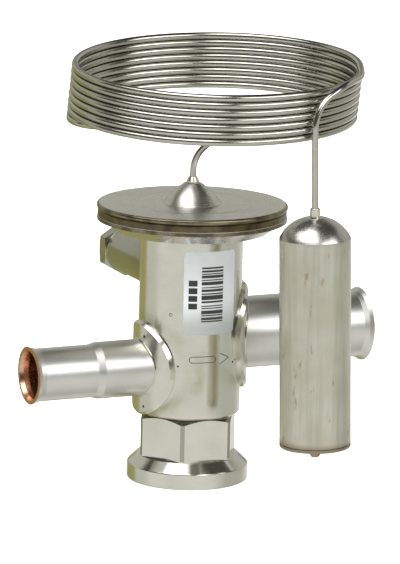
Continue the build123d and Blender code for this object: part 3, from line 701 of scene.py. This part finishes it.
@dataclass
class ValveBody:
    """Turned body with its brazed collars."""

    neck_radius: float = 13.0
    neck_top: float = 24.0
    neck_pitch: float = 1.5
    thread_depth: float = 0.7
    thread_runout: float = 0.5
    skin_far: float = 0.3
    skin_near: float = 0.1
    inlet_height: float = 41.4
    outlet_height: float = 51.3
    inlet_collar: float = 16.9
    outlet_collar: float = 19.6
    inlet_heat: float = 5.5
    outlet_heat: float = 4.0
    inlet_strength: float = 0.95
    colour: Colour = (0.80, 0.80, 0.735)
    cloud: Colour = (0.755, 0.755, 0.68)

    def finish(self) -> bpy.types.Material:
        """Satin bar with brazing tints and a screw thread on the neck.

        Returns:
            The material.
        """
        tints = (
            HeatTint(-1.0, self.inlet_height, self.inlet_collar, self.inlet_collar + self.inlet_heat,
                     strength=self.inlet_strength),
            HeatTint(1.0, self.outlet_height, self.outlet_collar, self.outlet_collar + self.outlet_heat),
        )
        bench = MetalFinish("body_satin", self.colour, self.cloud, roughness=0.2, spread=0.05,
                            grain=Grain.TURNED, grain_scale=3200.0, grain_depth=0.000006, wave=0.00002,
                            tints=tints).bench()
        x, y, z = bench.split(bench.place)
        radius = bench.around(x, y)
        turn = bench.math("ARCTAN2", y, x)
        rise = bench.math("DIVIDE", z, self.neck_pitch * MM)
        phase = bench.math("SUBTRACT", bench.math("MULTIPLY", rise, 2 * pi), turn)
        ridge = bench.math("MULTIPLY_ADD", bench.math("SINE", phase), 0.5, 0.5)
        near = self.neck_radius - self.skin_near
        inside = bench.ramp(radius, (self.neck_radius - self.skin_far) * MM, near * MM)
        far = self.neck_radius + self.skin_far
        outside = bench.ramp(radius, (self.neck_radius + self.skin_near) * MM, far * MM, 1.0, 0.0)
        below = bench.ramp(z, (self.neck_top - self.thread_runout) * MM, self.neck_top * MM, 1.0, 0.0)
        skin = bench.math("MULTIPLY", inside, outside)
        thread = bench.math("MULTIPLY", bench.math("MULTIPLY", ridge, below), skin)
        normal = bench.shader.inputs["Normal"]
        before = normal.links[0].from_socket
        bench.link(bench.bump(thread, self.thread_depth * MM, before), normal)
        return bench.material

    def build(self, frame: dict) -> None:
        """Dress the body and its collars.

        Args:
            frame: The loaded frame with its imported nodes.
        """
        dress(frame, "valve_body", self.finish())
        collar = MetalFinish("collar_bright", self.colour, self.cloud, roughness=0.2, grain_scale=900.0,
                             grain_depth=0.00002, wave=0.00006).material()
        dress(frame, "inlet_saddle", collar)
        dress(frame, "outlet_saddle", collar)


@dataclass
class SealCap:
    """Blind cap below the body, with its gasket."""

    # Band round the hexagon's corners where a dark reflection is painted.
    corner_reflection_start: float = 18.0
    corner_reflection_end: float = 18.06
    hexagon_bottom: float = 9.4
    hexagon_top: float = 23.4
    corner_dark_reflection: Colour = (0.46, 0.46, 0.41)
    top: float = 23.9
    chamfer_inner: float = 15.8
    chamfer_slope: float = 0.577
    chamfer_start: float = 0.3
    chamfer_full: float = 0.6
    chamfer_below: float = 0.12
    chamfer_reached: float = 0.04
    chamfer: Colour = (0.30, 0.30, 0.255)

    def finish(self) -> bpy.types.Material:
        """Satin bar, with a painted dark reflection along the hexagon's corners, and darker on its chamfer.

        Returns:
            The material.
        """
        bench = MetalFinish("cap_satin", (0.79, 0.79, 0.73), (0.73, 0.73, 0.66), roughness=0.17,
                            grain=Grain.TURNED, grain_scale=2600.0, grain_depth=0.000012).bench()
        x, y, z = bench.split(bench.place)
        radius = bench.around(x, y)
        # Painted dark reflection: a thin dark line along each corner of the hexagon.
        corner = bench.ramp(radius, self.corner_reflection_start * MM, self.corner_reflection_end * MM)
        above = bench.math("GREATER_THAN", z, self.hexagon_bottom * MM)
        below = bench.math("LESS_THAN", z, self.hexagon_top * MM)
        bench.tint(bench.math("MULTIPLY", corner, bench.math("MULTIPLY", above, below)), self.corner_dark_reflection)
        slant = bench.math("MULTIPLY_ADD", radius, self.chamfer_slope, z)
        cone = self.top + self.chamfer_slope * self.chamfer_inner
        near = bench.ramp(slant, (cone - self.chamfer_below) * MM, (cone - self.chamfer_reached) * MM)
        start = self.chamfer_inner + self.chamfer_start
        outside = bench.ramp(radius, start * MM, (self.chamfer_inner + self.chamfer_full) * MM)
        bench.tint(bench.math("MULTIPLY", near, outside), self.chamfer)
        return bench.material

    def build(self, frame: dict) -> None:
        """Dress the cap and the gasket.

        Args:
            frame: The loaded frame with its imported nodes.
        """
        dress(frame, "seal_cap", self.finish())
        gasket = MetalFinish("gasket_copper", (0.80, 0.46, 0.30), (0.66, 0.36, 0.22), roughness=0.35)
        dress(frame, "cap_gasket", gasket.material())


@dataclass
class Connections:
    """Inlet and outlet tubes with their copper liners."""

    lip: float = -61.3
    lip_outside: float = 0.1
    lip_inside: float = 0.15
    lip_copper: Colour = (0.72, 0.42, 0.28)

    def finish(self) -> bpy.types.Material:
        """Bright tube, copper coloured at the inlet's very lip.

        Returns:
            The material.
        """
        bench = MetalFinish("tube_bright", (0.83, 0.83, 0.80), (0.77, 0.77, 0.74), roughness=0.37,
                            spread=0.04, grain=Grain.TURNED_X, grain_scale=2200.0, grain_depth=0.000006,
                            wave=0.00002).bench()
        along = bench.split(bench.place)[0]
        end = self.lip + self.lip_inside
        bench.tint(bench.ramp(along, (self.lip - self.lip_outside) * MM, end * MM, 1.0, 0.0), self.lip_copper)
        return bench.material

    def build(self, frame: dict) -> None:
        """Dress tubes and liners.

        Args:
            frame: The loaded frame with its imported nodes.
        """
        tube = self.finish()
        copper = MetalFinish("liner_copper", (0.86, 0.55, 0.40), (0.70, 0.40, 0.27), roughness=0.27,
                             grain=Grain.TURNED_X, grain_scale=2200.0, cloud_scale=160.0).material()
        for side in ("inlet", "outlet"):
            dress(frame, side + "_tube", tube)
            dress(frame, side + "_copper_liner", copper)


@dataclass
class PowerHead:
    """Flat head with its pan, ring, top plate and hub."""

    weld_start: float = 32.7
    weld_end: float = 33.5
    patch_scale: float = 150.0
    patch_range: Range = (0.4, 0.62)

    def weld_tinted(self, finish: MetalFinish, tint: Colour, patch: Colour) -> bpy.types.Material:
        """Colour the rim as the weld has left it.

        Args:
            finish: Finish of the sheet.
            tint: Colour of the rim.
            patch: Colour of darker patches in it.

        Returns:
            The material.
        """
        bench = finish.bench()
        x, y, _ = bench.split(bench.place)
        share = bench.ramp(bench.around(x, y), self.weld_start * MM, self.weld_end * MM)
        cloud = bench.noise(bench.place, self.patch_scale, CLOUD_DETAIL)
        patches = bench.ramp(cloud, *self.patch_range)
        bench.tint(share, bench.blend(patches, tint, patch))
        return bench.material

    def build(self, frame: dict) -> None:
        """Dress the head.

        Args:
            frame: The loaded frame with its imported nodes.
        """
        plate = self.weld_tinted(
            MetalFinish("head_plate", (0.73, 0.725, 0.69), (0.68, 0.675, 0.63), roughness=0.3, spread=0.05,
                        grain=Grain.TURNED, grain_scale=2400.0, grain_depth=0.000006, wave=0.00001),
            tint=(0.30, 0.27, 0.18), patch=(0.17, 0.15, 0.09),
        )
        edge = MetalFinish("head_edge", (0.20, 0.165, 0.10), (0.10, 0.08, 0.05), roughness=0.3, spread=0.08,
                           grain=Grain.TURNED, grain_scale=1800.0, grain_depth=0.00002,
                           cloud_scale=180.0).material()
        pan = self.weld_tinted(
            MetalFinish("head_pan", (0.74, 0.73, 0.69), (0.68, 0.66, 0.60), roughness=0.24, spread=0.07,
                        grain=Grain.TURNED),
            tint=(0.29, 0.25, 0.17), patch=(0.14, 0.115, 0.07),
        )
        dress(frame, "upper_casing", plate)
        dress(frame, "casing_ring", edge)
        dress(frame, "lower_casing", pan)
        ferrule = MetalFinish("braze_bright", (0.82, 0.82, 0.78), (0.70, 0.66, 0.55), roughness=0.16,
                              spread=0.05, wave=0.00008)
        dress(frame, "head_ferrule", ferrule.material())
        inner = MetalFinish("inner_ground", (0.66, 0.66, 0.66), (0.60, 0.60, 0.59), roughness=0.3)
        dress(frame, "diaphragm", inner.material())


@dataclass
class Capillary:
    """Coiled tube between the head and the bulb."""

    coil_bottom: float = 124.0
    dark_rise: float = 2.0
    # Painted shade in the crevices between the wound turns.
    painted_shade_from: float = 0.74
    painted_shade_full: float = 0.96
    painted_crevice_shade: Colour = (0.19, 0.19, 0.155)
    coil_azimuth: float = -24.0
    coil_centre: float = 7.05
    coil_radius: float = 50.0
    wire_reach: float = 1.9
    fade: float = 0.7
    swell: float = 0.11
    same_point: float = 0.001

    def wound(self, place: Vector) -> float:
        """How far a place belongs to the wound turns.

        Args:
            place: Place in metres.

        Returns:
            1 on the turns, 0 on the tails.
        """
        turn = radians(self.coil_azimuth)
        across = place.x / MM - self.coil_centre * cos(turn)
        away = place.y / MM - self.coil_centre * sin(turn)
        off = abs(sqrt(across**2 + away**2) - self.coil_radius)
        above = place.z / MM - self.coil_bottom
        return min(1.0, max(0.0, (self.wire_reach + self.fade - off) / self.fade)) if above > 0 else 0.0

    def tight(self, frame: dict, material: bpy.types.Material) -> None:
        """Lay the wound turns against each other.

        Args:
            frame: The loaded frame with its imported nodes.
            material: Finish.
        """
        tube = bmesh.new()
        tube.from_mesh(frame["nodes"]["capillary_tube"].data)
        bmesh.ops.remove_doubles(tube, verts=tube.verts, dist=self.same_point * MM)
        tube.normal_update()
        swell = self.swell * MM
        points = [tuple(spot.co + spot.normal * (swell * self.wound(spot.co))) for spot in tube.verts]
        faces = [[spot.index for spot in side.verts] for side in tube.faces]
        tube.free()
        piece = mesh_object("capillary_with_tight_coil", points, faces, VALVE, material)
        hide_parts("capillary_tube")

    def build(self, frame: dict) -> None:
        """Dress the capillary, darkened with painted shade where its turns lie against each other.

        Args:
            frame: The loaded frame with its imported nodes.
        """
        bench = MetalFinish("capillary_bright", (0.64, 0.64, 0.585), (0.52, 0.52, 0.455), roughness=0.19,
                            spread=0.05, cloud_scale=28.0).bench()
        # Painted shade: darker where the surface faces straight up or down, in the crevices between the wound
        # turns.
        upright = bench.split(bench.add("ShaderNodeNewGeometry").outputs["Normal"])[2]
        painted_shade_share = bench.ramp(bench.math("ABSOLUTE", upright), self.painted_shade_from, self.painted_shade_full)
        height = bench.split(bench.place)[2]
        coiled = bench.ramp(height, self.coil_bottom * MM, (self.coil_bottom + self.dark_rise) * MM)
        bench.tint(bench.math("MULTIPLY", painted_shade_share, coiled), self.painted_crevice_shade)
        dress(frame, "capillary_tube", bench.material)
        self.tight(frame, bench.material)


@dataclass
class SensingBulb:
    """Drawn bulb with its crimped plug, brazed neck and filling stub."""

    foot: Point = (24.3, -54.6, 21.8)
    crown: Point = (22.4, -53.8, 103.0)
    stub_radius: float = 1.75
    stub_length: float = 4.0
    stub_inside: float = 1.2
    nose_share: float = 0.6
    nose_steps: int = 6
    dome_start: float = 94.0
    dome_end: float = 96.5
    dome_gloss: float = 0.8
    # Painted dark reflection on the dome.
    dome_dark_reflection: Colour = (0.60, 0.60, 0.56)
    streak_scale: float = 620.0
    streak_stretch: float = 0.04
    streak_range: Range = (0.42, 0.62)
    streak_share: float = 0.4
    streak: Colour = (0.60, 0.58, 0.48)
    stain_scale: float = 260.0
    stain_stretch: float = 0.4
    stain_range: Range = (0.64, 0.74)
    stain_share: float = 0.65
    stain: Colour = (0.42, 0.31, 0.19)
    foot_band_bottom: float = 22.6
    foot_band_top: float = 25.5
    foot_band_share: float = 0.8
    foot_band_brown: Colour = (0.34, 0.26, 0.17)
    steps: int = 24

    def shell(self) -> bpy.types.Material:
        """Drawn sheet: dull sides with faint brown marks, a darker band at the foot, and a smoother dome with
        a painted dark reflection.

        Returns:
            The material.
        """
        bench = MetalFinish("bulb_drawn", (0.80, 0.785, 0.69), (0.72, 0.70, 0.585), roughness=0.34,
                            grain=Grain.DRAWN_Z, grain_scale=2600.0, cloud_scale=75.0, wave=0.00002).bench()
        height = bench.split(bench.place)[2]
        dome = bench.ramp(height, self.dome_start * MM, self.dome_end * MM)
        rough = bench.shader.inputs["Roughness"]
        dull = rough.links[0].from_socket
        share = bench.math("MULTIPLY_ADD", dome, self.dome_gloss - 1.0, 1.0)
        bench.link(bench.math("MULTIPLY", dull, share), rough)
        drawn = bench.stretched((1.0, 1.0, self.streak_stretch))
        streaks = bench.noise(drawn, self.streak_scale, CLOUD_DETAIL)
        bench.tint(bench.ramp(streaks, *self.streak_range, 0.0, self.streak_share), self.streak)
        # Painted dark reflection: the dome darker than the sides.
        bench.tint(dome, self.dome_dark_reflection)
        drawn = bench.stretched((1.0, 1.0, self.stain_stretch))
        spots = bench.noise(drawn, self.stain_scale, CLOUD_DETAIL)
        bench.tint(bench.ramp(spots, *self.stain_range, 0.0, self.stain_share), self.stain)
        # Darker brown band at the foot, along the bottom groove.
        foot = bench.ramp(height, self.foot_band_bottom * MM, self.foot_band_top * MM, self.foot_band_share, 0.0)
        bench.tint(foot, self.foot_band_brown)
        return bench.material

    def stub(self, material: bpy.types.Material) -> None:
        """Filling stub with a round nose below the plug, as long as it really stands out.

        Args:
            material: Finish.
        """
        foot = Vector(self.foot)
        along = (Vector(self.crown) - foot).normalized()
        side = along.cross(Vector((0, 1, 0))).normalized()
        other = along.cross(side)
        nose = self.nose_share * self.stub_radius
        corner = self.stub_length - nose
        rows = [(self.stub_radius, self.stub_inside), (self.stub_radius, -corner)]
        for step in range(1, self.nose_steps + 1):
            turn = pi / 2 * step / self.nose_steps
            rows.append((self.stub_radius - nose * (1 - cos(turn)), -corner - nose * sin(turn)))
        points: list[Point] = []
        for radius, height in rows:
            for step in range(self.steps):
                turn = 2 * pi * step / self.steps
                spot = foot + along * height + (side * cos(turn) + other * sin(turn)) * radius
                points.append(tuple(spot * MM))
        faces: list[list[int]] = [list(range(self.steps))]
        for row in range(len(rows) - 1):
            for step in range(self.steps):
                after = (step + 1) % self.steps
                start = row * self.steps
                faces.append([start + step, start + self.steps + step,
                              start + self.steps + after, start + after])
        faces.append(list(reversed(range(len(points) - self.steps, len(points)))))
        piece = mesh_object("filling_stub", points, faces, VALVE, material)
        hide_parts("bulb_fill_stem")

    def build(self, frame: dict) -> None:
        """Dress the bulb.

        Args:
            frame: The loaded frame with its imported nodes.
        """
        shell = self.shell()
        for node in ("bulb_shell", "bulb_end_plug", "bulb_fill_stem"):
            dress(frame, node, shell)
        dress(frame, "bulb_ferrule", bpy.data.materials["braze_bright"])
        self.stub(shell)


@dataclass
class SuperheatGear:
    """Pieces inside the body."""

    carriage: str = "spring_carriage"
    stroke: str = "stroke"
    lower_share: float = 0.7

    def spring_end(self, frame: dict, name: str, upper: bool, material: bpy.types.Material) -> None:
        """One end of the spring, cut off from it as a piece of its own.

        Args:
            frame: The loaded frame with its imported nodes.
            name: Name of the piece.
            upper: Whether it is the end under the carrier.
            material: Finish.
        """
        low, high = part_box("superheat_spring")
        still = low.z + self.lower_share * (high.z - low.z)
        wire = bmesh.new()
        wire.from_mesh(frame["nodes"]["superheat_spring"].data)
        other = [side for side in wire.faces if (side.calc_center_median().z > still) != upper]
        bmesh.ops.delete(wire, geom=other, context="FACES")
        mesh = bpy.data.meshes.new(name)
        wire.to_mesh(mesh)
        wire.free()
        mesh.materials.clear()
        mesh.materials.append(material)
        piece = bpy.data.objects.new(name, mesh)
        bpy.context.scene.collection.objects.link(piece)
        if upper:
            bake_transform(piece)
        else:
            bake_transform(piece)
        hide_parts("superheat_spring")

    def build(self, frame: dict) -> None:
        """Dress the inner pieces.

        Args:
            frame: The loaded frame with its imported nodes.
        """
        ground = bpy.data.materials["inner_ground"]
        for node in ("adjusting_spindle", "cone_carrier", "valve_cone", "orifice_seat", "push_rod",
                     "seal_retainer", "thrust_pad"):
            dress(frame, node, ground)
        brass = MetalFinish("turned_brass", (0.80, 0.62, 0.30), (0.70, 0.52, 0.24), grain=Grain.TURNED)
        yellow = brass.material()
        for node in ("gland_nut", "spring_seat", "rod_guide"):
            dress(frame, node, yellow)
        spring = MetalFinish("spring_wire", (0.55, 0.55, 0.55), (0.42, 0.42, 0.43), roughness=0.3).material()
        dress(frame, "superheat_spring", spring)
        self.spring_end(frame, "spring_lower_turns", False, spring)
        self.spring_end(frame, "spring_upper_turns", True, spring)
        rubber = SoftFinish("seal_rubber", (0.02, 0.02, 0.02), (0.04, 0.04, 0.04), roughness=0.55)
        dress(frame, "spindle_seal", rubber.material())
        white = SoftFinish("seal_white", (0.86, 0.86, 0.83), (0.80, 0.80, 0.76), roughness=0.45)
        dress(frame, "rod_seal", white.material())


@dataclass
class EqualizerConnector:
    """Side connector turned from hexagon bar."""

    colour: Colour = (0.51, 0.505, 0.43)
    cloud: Colour = (0.43, 0.425, 0.35)

    def build(self, frame: dict) -> None:
        """Dress the connector."""
        metal = MetalFinish("connector_satin", self.colour, self.cloud, roughness=0.22,
                            grain=Grain.TURNED_Y, grain_scale=2600.0, grain_depth=0.000008, wave=0.00004)
        dress(frame, "equalizer_connector", metal.material())


@dataclass
class Label:
    """Sticker with a pattern of plain bars and blocks."""

    radius: float = 18.44
    print_gap: float = 0.03
    bottom: float = 55.5
    shade_start: float = 1.5
    shade_end: float = 13.0
    columns: int = 13
    bar_left: float = -3.9
    bar_right: float = 4.5
    block_left: float = -8.5
    block_right: float = -5.4
    block_bottom: float = 64.9
    block_step: float = 2.75
    block_height: float = 2.1
    block_count: int = 4
    bar_bottom: float = 60.2
    bars: tuple[float, ...] = (
        0.5, 0.3, 0.9, 0.5, 0.4, 0.3, 1.3, 0.6, 0.4, 0.4, 0.4, 0.9, 0.7, 0.4, 1.6, 0.3, 0.5,
        0.5, 0.9, 0.4, 0.4, 0.7, 1.2, 0.4, 0.4, 0.5, 1.0, 0.3, 0.4, 0.4, 0.7, 0.5, 0.6,
    )
    ink: Colour = (0.02, 0.022, 0.02)
    shade: Colour = (0.30, 0.315, 0.30)

    def strip(self, left: float, right: float, low: float, high: float) -> Mesh:
        """Bent rectangle just above the label.

        Args:
            left: Left edge along the arc in millimetres.
            right: Right edge along the arc.
            low: Lower edge.
            high: Upper edge.

        Returns:
            Vertices and faces.
        """
        reach = self.radius + self.print_gap
        points: list[Point] = []
        for step in range(self.columns):
            turn = (left + (right - left) * step / (self.columns - 1)) / reach
            for height in (low, high):
                points.append((reach * sin(turn) * MM, -reach * cos(turn) * MM, height * MM))
        faces = [[2 * step, 2 * step + 2, 2 * step + 3, 2 * step + 1] for step in range(self.columns - 1)]
        return points, faces

    def patches(self) -> list[tuple[float, float, float, float]]:
        """Left, right, lower and upper edge of every bar and block.

        Returns:
            Those four numbers in millimetres for each.
        """
        patches = []
        height = self.bar_bottom
        for index, size in enumerate(self.bars):
            if index % 2 == 0:
                patches.append((self.bar_left, self.bar_right, height, height + size))
            height += size
        for count in range(self.block_count):
            low = self.block_bottom + self.block_step * count
            patches.append((self.block_left, self.block_right, low, low + self.block_height))
        return patches

    def build(self, frame: dict) -> None:
        """Dress the label and lay its bars and blocks.

        Args:
            frame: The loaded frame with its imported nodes.
        """
        bench = SoftFinish("label_paper", (0.56, 0.59, 0.595), (0.52, 0.545, 0.55), roughness=0.38,
                           coat=0.2).bench()
        height = bench.split(bench.place)[2]
        end = self.bottom + self.shade_end
        low = bench.ramp(height, (self.bottom + self.shade_start) * MM, end * MM, 1.0, 0.0)
        bench.tint(low, self.shade)
        dress(frame, "label", bench.material)
        ink = SoftFinish("label_ink", self.ink, (0.035, 0.037, 0.035), roughness=0.5).material()
        points, faces = joined(self.strip(*patch) for patch in self.patches())
        mesh_object("label_print", points, faces, VALVE, ink)


@dataclass
class FlowArrow:
    """Arrow of flow engraved in the body below the label."""

    radius: float = 18.315
    line: float = 0.28
    left: float = -7.7
    shaft_right: float = 2.0
    tip: float = 8.0
    middle: float = 46.6
    shaft_half: float = 1.1
    head_half: float = 1.9
    round_steps: int = 10

    def outline(self) -> list[tuple[float, float]]:
        """Closed line round the shaft, with round ends, as arc lengths and heights.

        Returns:
            Its points in millimetres.
        """
        points = []
        half = self.shaft_half
        for centre, start in ((self.shaft_right - half, -90.0), (self.left + half, 90.0)):
            for step in range(self.round_steps + 1):
                turn = radians(start + 180.0 * step / self.round_steps)
                points.append((centre + half * cos(turn), self.middle + half * sin(turn)))
        return points + points[:1]

    def head(self) -> list[tuple[float, float]]:
        """Open line of the arrow's head."""
        return [
            (self.shaft_right + self.head_half, self.middle + self.head_half),
            (self.tip, self.middle),
            (self.shaft_right + self.head_half, self.middle - self.head_half),
        ]

    def ribbon(self, line: list[tuple[float, float]]) -> Mesh:
        """Flat band along a line on the round body.

        Args:
            line: Arc lengths and heights in millimetres.

        Returns:
            Vertices and faces.
        """
        points: list[Point] = []
        faces: list[list[int]] = []
        for (left, low), (right, high) in zip(line, line[1:]):
            length = sqrt((right - left) ** 2 + (high - low) ** 2)
            over = ((low - high) / length * self.line / 2, (right - left) / length * self.line / 2)
            start = len(points)
            for arc, height, side in ((left, low, 1), (left, low, -1), (right, high, -1), (right, high, 1)):
                turn = (arc + side * over[0]) / self.radius
                level = height + side * over[1]
                points.append((self.radius * sin(turn) * MM, -self.radius * cos(turn) * MM, level * MM))
            faces.append([start, start + 1, start + 2, start + 3])
        return points, faces

    def divided(self, line: list[tuple[float, float]], parts: int = 8) -> list[tuple[float, float]]:
        """The same line with more points, so that it can bend round the body.

        Args:
            line: Arc lengths and heights in millimetres.
            parts: Parts that each straight piece is divided into.

        Returns:
            The divided line.
        """
        points = []
        for (left, low), (right, high) in zip(line, line[1:]):
            for step in range(parts):
                share = step / parts
                points.append((left + (right - left) * share, low + (high - low) * share))
        return points + line[-1:]

    def build(self, frame: dict) -> None:
        """Lay dark lines of painted shade along the arrow engraved in the body.

        Args:
            frame: The loaded frame, as for every sub-assembly; not used.
        """
        # Painted shade: the dark ribbons stand in for the shade inside the engraved grooves.
        groove_shade = MetalFinish("engraved_line_shade", (0.22, 0.21, 0.18), (0.15, 0.14, 0.12), roughness=0.5)
        points, faces = joined(self.ribbon(self.divided(line)) for line in (self.outline(), self.head()))
        mesh_object("flow_arrow", points, faces, VALVE, groove_shade.material())


@dataclass
class Pits:
    """Few small pits in the body and the inlet's collar, by angle from the label's side, height and size."""

    radius: float = 18.32
    collar_radius: float = 20.22
    rim: float = 0.2
    sides: int = 20
    ring: tuple[float, float, float] = (-46.1, 62.5, 0.62)
    spots: tuple[Point, ...] = ((-36.7, 44.1, 0.36), (32.9, 44.45, 0.4))
    dimples: tuple[Point, ...] = ((-77.0, 53.45, 0.5), (-76.2, 28.1, 0.5))

    def row(self, angle: float, height: float, size: float, reach: float) -> list[Point]:
        """Points of a small circle on a round surface.

        Args:
            angle: Angle from the label's side in degrees.
            height: Height of its centre in millimetres.
            size: Its radius.
            reach: Radius of the surface.

        Returns:
            The points in metres.
        """
        points = []
        for step in range(self.sides):
            turn = 2 * pi * step / self.sides
            around = radians(angle) + size * cos(turn) / reach
            level = height + size * sin(turn)
            points.append((reach * sin(around) * MM, -reach * cos(around) * MM, level * MM))
        return points

    def build(self, frame: dict) -> None:
        """Lay dark specks on the body, and dark discs of painted shade for the dimples in the collar.

        Args:
            frame: The loaded frame, as for every sub-assembly; not used.
        """
        specks_and_shade = MetalFinish("pit_specks_and_shade", (0.12, 0.115, 0.09), (0.07, 0.065, 0.05), roughness=0.45).material()
        angle, height, size = self.ring
        points = self.row(angle, height, size, self.radius)
        points += self.row(angle, height, size - self.rim, self.radius)
        faces = []
        for step in range(self.sides):
            after = (step + 1) % self.sides
            faces.append([step, after, self.sides + after, self.sides + step])
        # The dimples in the collar are dark discs of painted shade; the ring and the spots on the body are
        # dark specks.
        for spots, reach in ((self.spots, self.radius), (self.dimples, self.collar_radius)):
            for spot in spots:
                start = len(points)
                points += self.row(*spot, reach)
                faces.append([start + step for step in range(self.sides)])
        mesh_object("body_pits", points, faces, VALVE, specks_and_shade)


@dataclass(frozen=True)
class Bead:
    """Bead of filler, by the thickness it stands on, the tube, its height and direction, and its size."""

    name: str
    wall: float
    tube: float
    height: float
    turn: float
    size: float


@dataclass
class Brazing:
    """Beads of filler where the tubes, collars and connector meet the body."""

    body: float = 18.3
    proud: float = 0.05
    steps: int = 96
    beads: tuple[Bead, ...] = (
        Bead("inlet_braze", wall=1.9, tube=10.25, height=41.4, turn=180.0, size=0.3),
        Bead("outlet_braze", wall=2.2, tube=13.05, height=51.3, turn=0.0, size=0.3),
        Bead("connector_braze", wall=0.0, tube=8.3, height=71.4, turn=90.0, size=0.4),
    )

    def saddle_line(self, bead: Bead) -> list[Vector]:
        """Line where a tube meets an upright round surface.

        Args:
            bead: The bead that follows it.

        Returns:
            Points of the closed line in metres.
        """
        line = []
        outer = self.body + bead.wall + self.proud
        spin = Matrix.Rotation(radians(bead.turn), 3, "Z")
        for step in range(self.steps):
            angle = 2 * pi * step / self.steps
            across = bead.tube * cos(angle)
            above = bead.height + bead.tube * sin(angle)
            line.append(spin @ Vector((sqrt(outer**2 - across**2), across, above)) * MM)
        return line

    def build(self, frame: dict) -> None:
        """Lay the beads.

        Args:
            frame: The loaded frame, as for every sub-assembly; not used.
        """
        bright = bpy.data.materials["braze_bright"]
        for bead in self.beads:
            line = self.saddle_line(bead)
            centre = sum(line, Vector()) / len(line)
            points, faces = closed_tube([point - centre for point in line], bead.size * MM)
            moved = [tuple(Vector(point) + centre) for point in points]
            mesh_object(bead.name, moved, faces, VALVE, bright)


def main() -> None:
    """Build the studio and dress every sub-assembly in order."""
    logging.basicConfig(level=logging.INFO, format="%(name)s: %(message)s")
    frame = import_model()
    Studio().build()
    log.info("studio set")
    parts = (
        PowerHead(), ValveBody(), SealCap(), Connections(), EqualizerConnector(), Capillary(),
        SensingBulb(), SuperheatGear(), Label(), FlowArrow(), Pits(), Brazing(),
    )
    for part in parts:
        part.build(frame)
        log.info("dressed %s", type(part).__name__)


if __name__ == "__main__":
    main()
